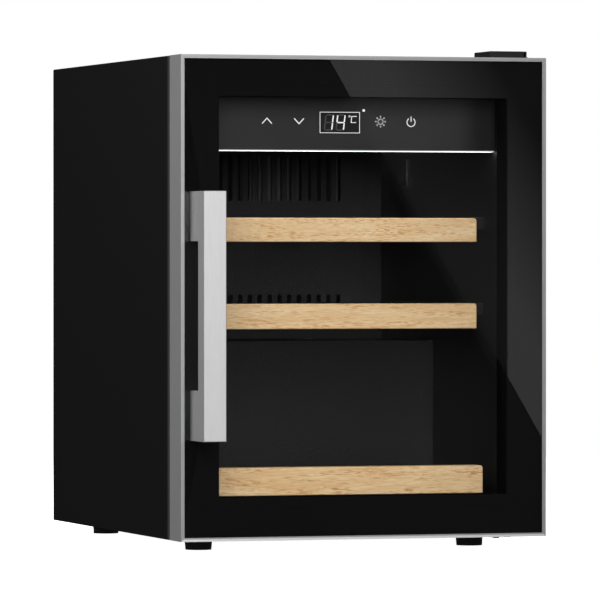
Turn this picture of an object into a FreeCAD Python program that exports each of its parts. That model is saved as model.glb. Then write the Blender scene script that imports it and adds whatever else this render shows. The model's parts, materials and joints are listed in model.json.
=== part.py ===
import FreeCAD, Part

import math
import os
import re

import Sketcher

# A free-standing wine cooler with a glass door, in millimetres.
# X points right, Y points back and Z points up; the origin is under the middle of the box round it.

Vector = FreeCAD.Vector
AXES = {"X": Vector(1, 0, 0), "Y": Vector(0, 1, 0), "Z": Vector(0, 0, 1)}
SIDES = {"left": "-1", "right": "1"}

# Driving dimensions. Depths run back from the door's front face, heights run up from the cabinet's
# underside, and half widths run out from the middle.
DIMENSIONS = {
    # whole object
    "width": 385, "depth": 490, "body_height": 484.3, "foot_height": 13,
    "handle_reach": 47, "door_depth": 40, "door_gap": 4, "slack": 0.1,
    # cabinet sheet metal
    "sheet": 1.2, "shell_flange": 12, "shell_bend": 1.5, "shell_bevel": 0.8,
    "pan_thick": 1.5, "pan_flange": 12, "back_recess": 3,
    # inner liner and foam
    "cavity_half": 157, "cavity_floor": 34, "cavity_ceiling": 450, "cavity_back": 424,
    "step_front": 250, "step_top": 195, "liner_wall": 2, "liner_recess": 0.3,
    "machine_front": 292, "machine_top": 165, "foam_floor": 13.5, "foam_clear": 0.3,
    # grille, screws and mains inlet
    "slot_width": 6, "slot_low": 30, "slot_high": 130, "slot_pitch": 21, "slot_count": 10,
    "slot_first": -60, "screw_head": 3.5, "screw_head_high": 2, "screw_inset": 10, "screw_core": 1.8,
    "inlet_across": -120, "inlet_middle": 55, "inlet_half_wide": 15.3, "inlet_half_high": 11.4,
    "inlet_rim": 4, "inlet_deep": 22, "inlet_wall": 1.6, "inlet_rim_thick": 2,
    "blade_half_wide": 2, "blade_thick": 1, "blade_spread": 7, "blade_rise": 3, "blade_long": 14,
    # feet
    "foot_across": 145, "front_foot_back": 100, "rear_foot_back": 450, "foot_top": 14.25,
    "foot_tread": 13.2, "foot_play": 0.3, "stud": 4, "stud_rise": 10, "stud_play": 0.1,
    "nut_radius": 7, "nut_high": 8,
    # control fascia, display and light
    "fascia_half": 155, "fascia_front": 50, "fascia_low": 391, "fascia_high": 449.5,
    "fascia_wall": 3, "fascia_ledge": 16, "ledge_thick": 2, "light_half": 144, "light_front": 56,
    "light_back": 62, "diffuser_half": 154.5, "diffuser_front": 51, "diffuser_back": 65,
    "diffuser_thick": 1.2, "led_board_thick": 1.6, "led_board_grow": 1.5,
    "display_left": -32.8, "display_right": 11.2, "display_low": 407.3, "display_high": 430.1,
    "display_thick": 2, "board_half": 90, "board_low": 402, "board_high": 438, "board_thick": 1.6,
    "board_set_back": 6,
    # air duct, evaporator, fan and sensor
    "duct_half": 125, "duct_front": 396, "duct_low": 215, "duct_high": 440, "duct_wall": 2,
    "duct_round": 6, "vent_width": 5, "vent_low": 345, "vent_high": 389, "vent_pitch": 11,
    "vent_count": 19, "return_low": 226, "return_high": 240, "evaporator_half": 100,
    "evaporator_front": 401, "evaporator_back": 421, "evaporator_low": 342,
    "evaporator_high": 400, "fin_gap": 6, "fin_pitch": 10, "fin_deep": 14,
    "fan_half": 40, "fan_front": 401, "fan_thick": 20, "fan_middle": 290, "fan_bore": 38,
    "fan_hub": 16, "fan_tip": 36, "fan_strut": 3, "fan_spider": 3, "fan_shaft": 1.5,
    "fan_play": 0.05, "fan_blades": 7, "fan_clear": 1, "hub_deep": 14, "vane_root": 12.8,
    "vane_thick": 1.6,
    "vane_lean": 10, "vane_deep": 10, "sensor_back": 330, "sensor_middle": 372, "sensor_long": 30,
    "sensor_half": 6, "sensor_proud": 6, "sensor_round": 2.5,
    # machine compartment
    "compressor_across": 70, "compressor_back": 390, "compressor_radius": 58,
    "compressor_low": 16, "compressor_high": 142, "dome_round": 30, "seam_proud": 2.5,
    "seam_high": 4, "seam_at": 70, "mount_half_wide": 80, "mount_half_deep": 48,
    "mount_plate": 2.5, "grommet_radius": 9, "grommet_neck": 6, "grommet_inset": 12,
    "grommet_top": 4, "bolt": 3, "bolt_head": 5.5, "bolt_head_high": 3, "cover_thick": 22,
    "cover_half": 22, "cover_low": 40, "cover_high": 95, "tray_low": 146, "tray_high": 160,
    "tray_half_wide": 55, "tray_half_deep": 45, "tray_wall": 1.5, "drain_back": 412,
    "drain_outer": 6, "drain_inner": 4, "drier_across": -40, "drier_back": 320,
    "drier_radius": 9, "drier_low": 40, "drier_long": 70, "drier_cone": 12, "pipe": 3,
    "box_left": -175, "box_right": -65, "box_front": 310, "box_back": 420, "box_high": 80,
    "coil_tube": 2.4, "coil_runs": 6, "coil_pitch": 52, "coil_low": 190, "coil_front": 90,
    "coil_back": 440,
    "suction_rise": 30, "suction_out": 24, "discharge_drop": 25, "discharge_out": 16,
    "discharge_start": 8, "discharge_end": 50,
    # door frame and glazing
    "lip": 3.8, "lip_ridge": 2.1, "lip_drop": 0.5, "lip_thick": 1.2, "frame_wall": 1.8,
    "frame_return": 18, "return_thick": 2, "outer_glass": 4, "window_half": 151.5,
    "window_low": 43.3, "window_high": 443.2, "spacer_deep": 16, "spacer_wide": 12,
    "inner_glass": 4, "ring_outer": 18.5, "ring_flange": 2.2, "ring_seat": 1.5,
    "ring_back": 38, "seal_outer": 19, "seal_wide": 15, "seal_back": 43.7, "seal_step": 3,
    # hinge
    "pin_in": 12, "pin_back": 20, "pin": 4, "pin_play": 0.05, "pin_long": 12,
    "bush_wall": 1, "tongue_half": 7.5, "tongue_thick": 3, "tongue_drop": 1.2,
    "notch_left": 20.5, "notch_front": 6, "notch_deep": 5, "bracket_left": 43.5,
    "bracket_right": 6, "bracket_back": 82, "plate_gap": 2, "bridge_lap": 3,
    "bracket_thick": 2, "web_front": 41.6,
    "web_thick": 2, "cap_left": 45.5, "cap_right": 4, "cap_front": 41.2, "cap_back": 90,
    "cap_high": 8, "cap_wall": 1.6, "cap_round": 7, "hinge_screw_inset": 10, "hinge_screw_fore": 13,
    "key_front": 10, "key_back": 36, "key_arm": 48, "key_outer": 2.2, "key_inner": 17.6,
    "pin_room": 1,
    # handle
    "handle_middle": -171, "handle_half": 11.6, "handle_thick": 20, "handle_low": 100.7,
    "handle_high": 348.1, "post_long": 49.5, "handle_round": 0.8, "post_screw_across": -169,
    "post_screw": 2.4, "post_screw_head": 4, "post_screw_in": 17, "post_screw_seat": 10,
    "post_head_high": 3,
    # shelves
    "board_front": 60, "board_deep": 20, "board_round": 3, "board_edge": 1.2,
    "side_wire": 2.5, "cradle_wire": 2, "long_wire": 1.6, "bottle_pitch": 74.5,
    "dip_radius": 42, "crest_radius": 12, "wire_back": 388, "wire_front": 86,
    "bottles_across": 4, "cradle_first": 118, "cradle_pitch": 118, "cradle_count": 3,
    "long_wire_out": 16, "long_wire_over": 6, "rack_first": 100, "rack_pitch": 32,
    "rack_count": 5, "rack_clear": 4, "groove_lip": 3, "groove_play": 0.5,
    "groove_mouth": 0.7, "rail_front": 92, "rail_over": 1, "tab_half": 16, "tab_rise": 4.5, "tab_thick": 1.6,
    "tab_across": 90, "link_half": 6, "tab_screw": 11,
    "wood_screw": 1.8, "wood_screw_head": 3.6, "wood_screw_head_high": 1.8, "wood_screw_in": 12,
}
SHELVES = {
    "top_shelf": {"half": 139.3, "low": 298.2, "high": 322.6, "wire": 317.6, "wire_across": 143,
                  "cradled": True},
    "middle_shelf": {"half": 139.3, "low": 210.1, "high": 235.7, "wire": 229.5,
                     "wire_across": 143, "cradled": True},
    "bottom_shelf": {"half": 146, "low": 42.1, "high": 70.4, "wire": 47.6, "wire_across": 150,
                     "cradled": False},
}

# Places that several pieces share, as formulas of the driving dimensions.
PLACES = {
    "half_width": "width / 2",
    "front": "handle_reach - (depth + handle_reach) / 2",
    "back": "front + depth",
    "cabinet_front": "front + door_depth + door_gap",
    "low": "foot_height",
    "high": "foot_height + body_height",
    "inner_half": "half_width - sheet - slack",
    "back_plate": "back - back_recess",
    "glass_front": "front + lip_thick",
    "glass_back": "front + lip_thick + outer_glass",
    "spacer_back": "glass_back + spacer_deep",
    "inner_glass_back": "spacer_back + inner_glass",
    "unit_half": "window_half + spacer_wide",
    "unit_low": "low + window_low - spacer_wide",
    "unit_high": "low + window_high + spacer_wide",
    "pin_x": "half_width - pin_in",
    "pin_y": "front + pin_back",
    "bar_back": "front - handle_reach + handle_thick",
    "rack_back": "step_front - rack_clear",
}
NODES = []

doc = FreeCAD.newDocument("WineCooler")
sheet = doc.addObject("Spreadsheet::Sheet", "dims")


def fill_sheet():
    """Write every driving dimension in the sheet, one row each: its name, then its value."""
    rows = dict(DIMENSIONS)
    for shelf, sizes in SHELVES.items():
        for name, value in sizes.items():
            if name != "cradled":
                rows[f"{shelf}_{name}"] = value
    for row, (name, value) in enumerate(rows.items(), start=1):
        sheet.set(f"A{row}", name)
        sheet.set(f"B{row}", str(value))
        sheet.setAlias(f"B{row}", name)
        NAMES.add(name)
    doc.recompute()


def formula(text):
    """Spell out a formula's names as references to the sheet."""
    def spell(match):
        word = match.group(0)
        if word in PLACES:
            return "(" + formula(PLACES[word]) + ")"
        return "dims." + word if word in NAMES else word
    return re.sub(r"[a-z_][a-z_0-9]*", spell, str(text))


def number(text):
    """The value of a formula, for the few shapes that are built from numbers."""
    return float(sheet.evalExpression(formula(text)))


def bind(feature, **formulas):
    """Tie properties of a feature to formulas of the sheet."""
    for name, text in formulas.items():
        feature.setExpression(name, formula(text))
    return feature


def place(feature, x="0", y="0", z="0"):
    """Tie a feature's position to the sheet."""
    for coordinate, text in (("x", x), ("y", y), ("z", z)):
        feature.setExpression(f"Placement.Base.{coordinate}", formula(text))
    return feature


def node(feature):
    """Count a finished feature as one piece of the object."""
    NODES.append(feature)
    return feature


# --- Part primitives and booleans ---------------------------------------------------------------


def block(name, x, y, z):
    """A box between two formulas along each axis."""
    box = doc.addObject("Part::Box", name)
    bind(box, Length=f"({x[1]}) - ({x[0]})", Width=f"({y[1]}) - ({y[0]})", Height=f"({z[1]}) - ({z[0]})")
    return place(box, x[0], y[0], z[0])


def rod(name, axis, start, length, radius):
    """A cylinder that runs along X, Y or Z from its start."""
    cylinder = doc.addObject("Part::Cylinder", name)
    cylinder.Placement = FreeCAD.Placement(Vector(), FreeCAD.Rotation(AXES["Z"], AXES[axis]))
    bind(cylinder, Radius=radius, Height=length)
    return place(cylinder, *start)


def taper(name, start, length, radius, end_radius):
    """A cone that rises along Z."""
    cone = doc.addObject("Part::Cone", name)
    bind(cone, Radius1=radius, Radius2=end_radius, Height=length)
    return place(cone, *start)


def join(name, pieces):
    """One solid of several."""
    fusion = doc.addObject("Part::MultiFuse", name)
    fusion.Shapes = pieces
    fusion.Refine = False
    return fusion


def cut(name, base, tool):
    """A base less a tool."""
    rest = doc.addObject("Part::Cut", name)
    rest.Base = base
    rest.Tool = tool
    return rest


def group(name, pieces):
    """Separate solids that share a node."""
    compound = doc.addObject("Part::Compound", name)
    compound.Links = pieces
    return compound


def tube(name, corners, bend, radius):
    """A round bar or pipe along straight runs joined by tangent arcs, as separate legs of one wire."""
    points = [Vector(*[number(value) for value in corner]) for corner in corners]
    edges = []
    start = points[0]
    for before, corner, after in zip(points, points[1:], points[2:]):
        arrive = (corner - before).normalize()
        leave = (after - corner).normalize()
        turn = arrive.getAngle(leave)
        back = bend * math.tan(turn / 2)
        inward = (leave - arrive).normalize()
        middle = corner + inward * (bend / math.cos(turn / 2) - bend)
        edges.append(Part.makeLine(start, corner - arrive * back))
        edges.append(Part.Arc(corner - arrive * back, middle, corner + leave * back).toShape())
        start = corner + leave * back
    edges.append(Part.makeLine(start, points[-1]))
    return sweep(name, edges, radius)


def sweep(name, edges, radius):
    """A round section carried along edges that follow on from each other."""
    path = Part.Wire(edges)
    first = edges[0]
    along = first.tangentAt(first.FirstParameter)
    section = Part.Wire([Part.makeCircle(radius, first.valueAt(first.FirstParameter), along)])
    feature = doc.addObject("Part::Feature", name)
    feature.Shape = path.makePipeShell([section], True, False)
    return feature


# --- PartDesign bodies --------------------------------------------------------------------------


def new_body(name):
    """A body that takes sketches and features."""
    return doc.addObject("PartDesign::Body", name)


def sketch(body, plane, level, outlines=(), circles=()):
    """A fully constrained sketch on an origin plane of the body, moved to a level along its axis."""
    drawing = body.newObject("Sketcher::SketchObject", f"{body.Name}_sketch")
    planes = {feature.Role: feature for feature in body.Origin.OriginFeatures}
    drawing.AttachmentSupport = [(planes[plane + "_Plane"], "")]
    drawing.MapMode = "FlatFace"
    toward = "-1" if plane == "XZ" else "1"
    drawing.setExpression("AttachmentOffset.Base.z", formula(f"{toward} * ({level})"))
    for outline in outlines:
        draw_outline(drawing, outline)
    for x, y, radius in circles:
        draw_circle(drawing, x, y, radius)
    return drawing


def draw_outline(drawing, outline):
    """A closed polygon with each corner held at its formulas."""
    first = drawing.GeometryCount
    corners = [Vector(number(x), number(y), 0) for x, y in outline]
    for start, end in zip(corners, corners[1:] + corners[:1]):
        drawing.addGeometry(Part.LineSegment(start, end), False)
    count = len(outline)
    for side in range(count):
        follower = first + (side + 1) % count
        drawing.addConstraint(Sketcher.Constraint("Coincident", first + side, 2, follower, 1))
    for side, ((x, y), corner) in enumerate(zip(outline, corners)):
        hold(drawing, "DistanceX", first + side, 1, x, corner.x)
        hold(drawing, "DistanceY", first + side, 1, y, corner.y)


def draw_circle(drawing, x, y, radius):
    """A circle with its centre and radius held at formulas."""
    centre = Vector(number(x), number(y), 0)
    circle = drawing.addGeometry(Part.Circle(centre, AXES["Z"], number(radius)), False)
    hold(drawing, "DistanceX", circle, 3, x, centre.x)
    hold(drawing, "DistanceY", circle, 3, y, centre.y)
    constraint = drawing.addConstraint(Sketcher.Constraint("Radius", circle, number(radius)))
    drawing.setExpression(f"Constraints[{constraint}]", formula(radius))


def hold(drawing, kind, geometry, point, text, value):
    """Hold one coordinate of a point, measured from the sketch's origin, at a formula."""
    constraint = drawing.addConstraint(Sketcher.Constraint(kind, -1, 1, geometry, point, value))
    drawing.setExpression(f"Constraints[{constraint}]", formula(text))


def rectangle(left, right, low, high):
    """The four corners of an upright rectangle."""
    return [(left, low), (right, low), (right, high), (left, high)]


def pad(body, drawing, length, symmetric=False):
    """Add the sketch's area, towards the back, the right or upwards."""
    return extrude(body, drawing, "Pad", length, symmetric, drawing_faces_forward(drawing))


def pocket(body, drawing, length, symmetric=False):
    """Take the sketch's area away, towards the back, the right or upwards."""
    volume = body_volume(body)
    feature = extrude(body, drawing, "Pocket", length, symmetric, not drawing_faces_forward(drawing))
    if not feature.Shape.Volume < volume:
        raise RuntimeError(f"{feature.Name} takes nothing away")
    return feature


def drawing_faces_forward(drawing):
    """Whether the sketch's axis points forward, as on the XZ plane, and not back, right or up."""
    return drawing.AttachmentSupport[0][0].Role == "XZ_Plane"


def body_volume(body):
    doc.recompute()
    return body.Shape.Volume


def extrude(body, drawing, kind, length, symmetric, reverse):
    feature = body.newObject(f"PartDesign::{kind}", f"{body.Name}_{kind.lower()}")
    feature.Profile = drawing
    feature.SideType = "Symmetric" if symmetric else "One side"
    feature.Reversed = reverse
    bind(feature, Length=length)
    return settle(feature)


def dress(body, kind, size, along, wanted):
    """Fillet or chamfer straight edges of the body along some axes, where both ends pass a test."""
    last = body.Tip
    names = []
    for index, edge in enumerate(last.Shape.Edges, start=1):
        ends = [vertex.Point for vertex in edge.Vertexes]
        if len(ends) != 2 or not isinstance(edge.Curve, Part.Line):
            continue
        lies_along = any(abs(edge.Curve.Direction.dot(AXES[axis])) > 0.999 for axis in along)
        if lies_along and all(wanted(point) for point in ends):
            names.append(f"Edge{index}")
    if not names:
        raise RuntimeError(f"{body.Name} has no such edge")
    feature = body.newObject(f"PartDesign::{kind}", f"{body.Name}_{kind.lower()}")
    feature.Base = (last, names)
    bind(feature, **{"Radius" if kind == "Fillet" else "Size": size})
    return settle(feature)


def settle(feature):
    """Recompute, and stop if the feature failed."""
    doc.recompute()
    if not feature.isValid():
        raise RuntimeError(f"{feature.Name} failed: {feature.State}")
    return feature


def repeat(body, features, axis, length, count):
    """Repeat features along an origin axis of their body, evenly over a length."""
    pattern = body.newObject("PartDesign::LinearPattern", f"{body.Name}_row")
    pattern.Originals = features
    axes = {part.Role: part for part in body.Origin.OriginFeatures}
    pattern.Direction = (axes[axis + "_Axis"], [""])
    bind(pattern, Length=length, Occurrences=count)
    body.Tip = pattern
    return settle(pattern)


def ring_body(name, layers):
    """Upright frames one behind another: each has an outer and an inner rectangle and a depth."""
    body = new_body(name)
    for outer, inner, start, end in layers:
        drawing = sketch(body, "XZ", start, outlines=[rectangle(*outer), rectangle(*inner)])
        pad(body, drawing, f"({end}) - ({start})")
    return body


def near(value, text):
    """Whether a coordinate lies at a formula."""
    return abs(value - number(text)) < 0.01


# --- Cabinet ------------------------------------------------------------------------------------


def outer_shell():
    """One sheet folded over the sides and top, with a narrow flange round its front edge."""
    body = new_body("outer_shell")

    def wrap(thick):
        inner = f"half_width - {thick}"
        return [
            ("-half_width", "low"), ("-half_width", "high"), ("half_width", "high"),
            ("half_width", "low"), (inner, "low"), (inner, f"high - {thick}"),
            (f"-({inner})", f"high - {thick}"), (f"-({inner})", "low"),
        ]

    pad(body, sketch(body, "XZ", "cabinet_front", [wrap("sheet")]), "back - cabinet_front")
    pad(body, sketch(body, "XZ", "cabinet_front", [wrap("shell_flange")]), "sheet")
    holes = [(x, y, "screw_core + slack") for x, y in hinge_screw_places()]
    pocket(body, sketch(body, "XY", "high - 2 * sheet", circles=holes), "3 * sheet")
    dress(body, "Fillet", "shell_bend", "Y",
          lambda point: near(abs(point.x), "half_width") and near(point.z, "high"))
    dress(body, "Chamfer", "shell_bevel", "XZ",
          lambda point: near(point.y, "cabinet_front") and
          (near(abs(point.x), "half_width") or near(point.z, "high")))
    return node(body)


def hinge_screw_places():
    """Where the screws of a hinge bracket go, seen from above."""
    left = "half_width - bracket_left + hinge_screw_inset"
    right = "half_width - bracket_right - hinge_screw_inset"
    rear = "front + bracket_back - hinge_screw_inset"
    fore = "cabinet_front + hinge_screw_fore"
    return [(left, rear), (right, rear), (left, fore)]


def base_pan():
    """The floor plate, folded up at its front and sides."""
    body = new_body("base_pan")
    inner = "(inner_half - pan_thick)"
    profile = [
        ("-inner_half", "low"), ("inner_half", "low"), ("inner_half", "low + pan_flange"),
        (inner, "low + pan_flange"), (inner, "low + pan_thick"), ("-" + inner, "low + pan_thick"),
        ("-" + inner, "low + pan_flange"), ("-inner_half", "low + pan_flange"),
    ]
    fore = "(cabinet_front + sheet + slack)"
    pad(body, sketch(body, "XZ", fore, [profile]), f"back_plate - sheet - slack - {fore}")
    fold = rectangle("-inner_half", "inner_half", "low", "low + pan_flange")
    pad(body, sketch(body, "XZ", fore, [fold]), "pan_thick")
    holes = [(x, y, "stud + stud_play") for x, y in foot_places()]
    holes += [(x, y, "screw_core + slack") for x, y in hinge_screw_places()]
    holes += [(x, y, "bolt + slack") for x, y in grommet_places()]
    pocket(body, sketch(body, "XY", "low - pan_thick", circles=holes), "3 * pan_thick")
    return node(body)


def foot_places():
    return [
        (f"{side} * foot_across", f"front + {row}")
        for row in ("front_foot_back", "rear_foot_back") for side in SIDES.values()
    ]


def inner_liner():
    """The moulded cavity, open over the machine compartment, with a flange round its mouth."""
    body = new_body("inner_liner")
    mouth = "(cabinet_front + liner_recess)"
    pad(body, sketch(body, "YZ", "0", [cavity_outline(mouth, "liner_wall")]),
        "2 * (cavity_half + liner_wall)", symmetric=True)
    pocket(body, sketch(body, "YZ", "0", [cavity_outline(mouth, "0")]), "2 * cavity_half", symmetric=True)
    edge = "half_width - shell_flange - slack"
    outer = (f"-({edge})", edge, "low + pan_flange + slack", "high - shell_flange - slack")
    opening = ("-cavity_half", "cavity_half", "low + cavity_floor", "low + cavity_ceiling")
    pad(body, sketch(body, "XZ", mouth, [rectangle(*outer), rectangle(*opening)]), "liner_wall")
    pocket(body, sketch(body, "YZ", "0", [step_outline()]), "2 * cavity_half", symmetric=True)
    return node(body)


def liner_step():
    """The moulding over the machine compartment: a riser, and a step with a hole for the drain."""
    body = new_body("liner_step")
    pad(body, sketch(body, "YZ", "0", [step_outline()]), "2 * cavity_half", symmetric=True)
    drain = ("compressor_across", "front + drain_back", "drain_outer")
    pocket(body, sketch(body, "XY", "low + step_top - 2 * liner_wall", circles=[drain]), "3 * liner_wall")
    return node(body)


def step_outline():
    """The step's moulding seen from the side."""
    fore, rear = "front + step_front", "front + cavity_back"
    floor, top = "low + cavity_floor", "low + step_top"
    return [(fore, floor), (f"{fore} + liner_wall", floor), (f"{fore} + liner_wall", f"{top} - liner_wall"),
            (rear, f"{top} - liner_wall"), (rear, top), (fore, top)]


def cavity_outline(mouth, grow):
    """The cavity seen from the side, grown by a wall all round."""
    floor = f"low + cavity_floor - {grow}"
    riser = f"front + step_front + {grow}"
    step = f"low + step_top - {grow}"
    rear = f"front + cavity_back + {grow}"
    ceiling = f"low + cavity_ceiling + {grow}"
    return [(mouth, floor), (riser, floor), (riser, step), (rear, step), (rear, ceiling), (mouth, ceiling)]


def insulation_foam(coils):
    """The foam between the liner and the shell, with grooves for the condenser and a drain hole."""
    body = new_body("foam_block")
    fore = "(cabinet_front + liner_recess + liner_wall)"
    aft = "back_plate - sheet - foam_clear"
    profile = [
        (fore, "low + foam_floor"), ("front + machine_front", "low + foam_floor"),
        ("front + machine_front", "low + machine_top"), (aft, "low + machine_top"),
        (aft, "high - sheet - foam_clear"), (fore, "high - sheet - foam_clear"),
    ]
    width = "2 * (half_width - sheet - foam_clear)"
    pad(body, sketch(body, "YZ", "0", [profile]), width, symmetric=True)
    hollow = sketch(body, "YZ", "0", [cavity_outline(fore, "liner_wall")])
    pocket(body, hollow, "2 * (cavity_half + liner_wall)", symmetric=True)
    drain = ("compressor_across", "front + drain_back", "drain_outer")
    pocket(body, sketch(body, "XY", "low + machine_top - liner_wall", circles=[drain]),
           "step_top - machine_top + liner_wall")
    grooves = group("coil_grooves", coils)
    return node(cut("insulation_foam", body, grooves))


def condenser_coil():
    """Two serpentine tubes bonded inside the side walls, in the foam."""
    coils = []
    for side, sign in SIDES.items():
        across = f"{sign} * (half_width - sheet - slack - coil_tube)"
        corners = []
        for run in range(int(DIMENSIONS["coil_runs"])):
            height = f"low + coil_low + {run} * coil_pitch"
            ends = ["front + coil_front", "front + coil_back"]
            for end in ends if run % 2 == 0 else reversed(ends):
                corners.append((across, end, height))
        coils.append(tube(f"coil_{side}", corners, number("coil_pitch / 2 - slack"), number("coil_tube")))
    node(group("condenser_coil", coils))
    return coils


def back_panel():
    """The sheet behind the foam."""
    return node(block("back_panel", ("-inner_half", "inner_half"), ("back_plate - sheet", "back_plate"),
                      ("low + machine_top + slack", "high - sheet - slack")))


def rear_grille():
    """The slotted sheet that closes the machine compartment, with a cut-out for the mains inlet."""
    body = new_body("rear_grille")
    plate = rectangle("-inner_half", "inner_half", "low + slack", "low + machine_top")
    pad(body, sketch(body, "XZ", "back_plate - sheet", [plate]), "sheet")
    hole = rectangle(*inlet_box("-slack"))
    pocket(body, sketch(body, "XZ", "back_plate - 2 * sheet", [hole]), "3 * sheet")
    slot = rectangle("slot_first", "slot_first + slot_width", "low + slot_low", "low + slot_high")
    first = pocket(body, sketch(body, "XZ", "back_plate - 2 * sheet", [slot]), "3 * sheet")
    repeat(body, [first], "X", "slot_pitch * (slot_count - 1)", "slot_count")
    return node(body)


def cabinet_screws():
    """Screws round the back panel and the grille, through the hinge brackets and the compressor's mounts."""
    screws = hinge_screws() + compressor_bolts()
    places = [
        (f"{side} * (inner_half - screw_inset)", height)
        for side in SIDES.values()
        for height in ("low + screw_inset", "low + machine_top - screw_inset",
                       "low + machine_top + screw_inset", "(low + high) / 2", "high - sheet - screw_inset")
    ]
    for index, (x, z) in enumerate(places):
        screws.append(rod(f"back_screw_{index}", "Y", (x, "back_plate", z), "screw_head_high", "screw_head"))
    return node(group("cabinet_screws", screws))


def inlet_box(grow):
    """The left, right, low and high sides of the inlet's outline, grown all round."""
    wide, high = f"inlet_half_wide + ({grow})", f"inlet_half_high + ({grow})"
    middle = "low + inlet_middle"
    return f"inlet_across - ({wide})", f"inlet_across + {wide}", f"{middle} - ({high})", f"{middle} + {high}"


def mains_inlet():
    """A male appliance inlet, open to the rear, with its three blades."""
    body = new_body("inlet_housing")
    outer = rectangle(*inlet_box("-2 * slack"))
    pad(body, sketch(body, "XZ", "back_plate - inlet_deep", [outer]), "inlet_deep")
    rim = rectangle(*inlet_box("inlet_rim"))
    pad(body, sketch(body, "XZ", "back_plate", [rim]), "inlet_rim_thick")
    well = rectangle(*inlet_box("-2 * inlet_wall"))
    floor = "back_plate - inlet_deep + 2 * inlet_wall"
    pocket(body, sketch(body, "XZ", floor, [well]), "inlet_deep")
    blades = []
    for index, (along, rise) in enumerate(((-1, -1), (0, 1), (1, -1))):
        x = f"inlet_across + ({along}) * blade_spread"
        z = f"low + inlet_middle + ({rise}) * blade_rise"
        blades.append(block(
            f"inlet_blade_{index}", (f"{x} - blade_thick", f"{x} + blade_thick"),
            (floor, f"{floor} + blade_long"), (f"{z} - blade_half_wide", f"{z} + blade_half_wide")))
    return node(group("mains_inlet", [body, *blades]))


# --- Feet ---------------------------------------------------------------------------------------


def foot(name, x, y):
    """A tapered pad on a stud that goes up through the base pan."""
    tread = taper(f"{name}_pad", (x, y, "0"), "foot_height - foot_play", "foot_tread", "foot_top")
    stud = rod(f"{name}_stud", "Z", (x, y, "foot_height - 2 * foot_play"), "stud_rise + pan_thick", "stud")
    return join(name, [tread, stud])


def feet():
    """Two levelling feet at the front, each in a nut, and two fixed feet behind."""
    nuts = []
    for side, (x, y) in zip(SIDES, foot_places()):
        node(foot(f"front_foot_{side}", x, y))
        shell = rod(f"nut_{side}_body", "Z", (x, y, "low + pan_thick"), "nut_high", "nut_radius")
        bore = rod(f"nut_{side}_bore", "Z", (x, y, "low"), "2 * nut_high", "stud + stud_play")
        nuts.append(cut(f"nut_{side}", shell, bore))
    node(group("foot_nuts", nuts))
    rear = [foot(f"rear_foot_{side}", x, y) for side, (x, y) in zip(SIDES, foot_places()[2:])]
    node(group("rear_feet", rear))


# --- Controls and light -------------------------------------------------------------------------


def control_fascia():
    """The panel behind the top of the window, folded back at its foot to hold the light."""
    body = new_body("control_fascia")
    face, shelf = "front + fascia_front", "front + fascia_front + fascia_ledge"
    back = "front + fascia_front + fascia_wall"
    low, high = "low + fascia_low", "low + fascia_high"
    profile = [(face, low), (shelf, low), (shelf, f"{low} + ledge_thick"),
               (back, f"{low} + ledge_thick"), (back, high), (face, high)]
    pad(body, sketch(body, "YZ", "0", [profile]), "2 * fascia_half", symmetric=True)
    window = rectangle("display_left", "display_right", "low + display_low", "low + display_high")
    pocket(body, sketch(body, "XZ", "front + fascia_front - slack", [window]), "fascia_wall + 2 * slack")
    light = rectangle("-light_half", "light_half", "front + light_front", "front + light_back")
    pocket(body, sketch(body, "XY", "low + fascia_low - slack", [light]), "ledge_thick + 2 * slack")
    return node(body)


def display():
    """The display's smoked window, and the board with its digit module behind it."""
    node(block("display_window", ("display_left + slack", "display_right - slack"),
               ("front + fascia_front", "front + fascia_front + display_thick"),
               ("low + display_low + slack", "low + display_high - slack")))
    board_front = "(front + fascia_front + board_set_back)"
    board = block("board_sheet", ("-board_half", "board_half"), (board_front, f"{board_front} + board_thick"),
                  ("low + board_low", "low + board_high"))
    module = block("digit_module", ("display_left + fascia_wall", "display_right - fascia_wall"),
                   ("front + fascia_front + display_thick + slack", board_front),
                   ("low + display_low + fascia_wall", "low + display_high - fascia_wall"))
    node(join("display_board", [board, module]))


def cavity_light():
    """A strip of lamps on the fascia's ledge, and the diffuser that plugs in from below."""
    node(block("led_strip", ("-light_half - led_board_grow", "light_half + led_board_grow"),
               ("front + light_front - led_board_grow", "front + light_back + led_board_grow"),
               ("low + fascia_low + ledge_thick", "low + fascia_low + ledge_thick + led_board_thick")))
    plate = block("diffuser_plate", ("-diffuser_half", "diffuser_half"),
                  ("front + diffuser_front", "front + diffuser_back"),
                  ("low + fascia_low - diffuser_thick", "low + fascia_low"))
    rib = block("diffuser_rib", ("-light_half + slack", "light_half - slack"),
                ("front + light_front + slack", "front + light_back - slack"),
                ("low + fascia_low - slack", "low + fascia_low + ledge_thick"))
    node(join("led_diffuser", [plate, rib]))


# --- Air and refrigerant ------------------------------------------------------------------------


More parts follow.
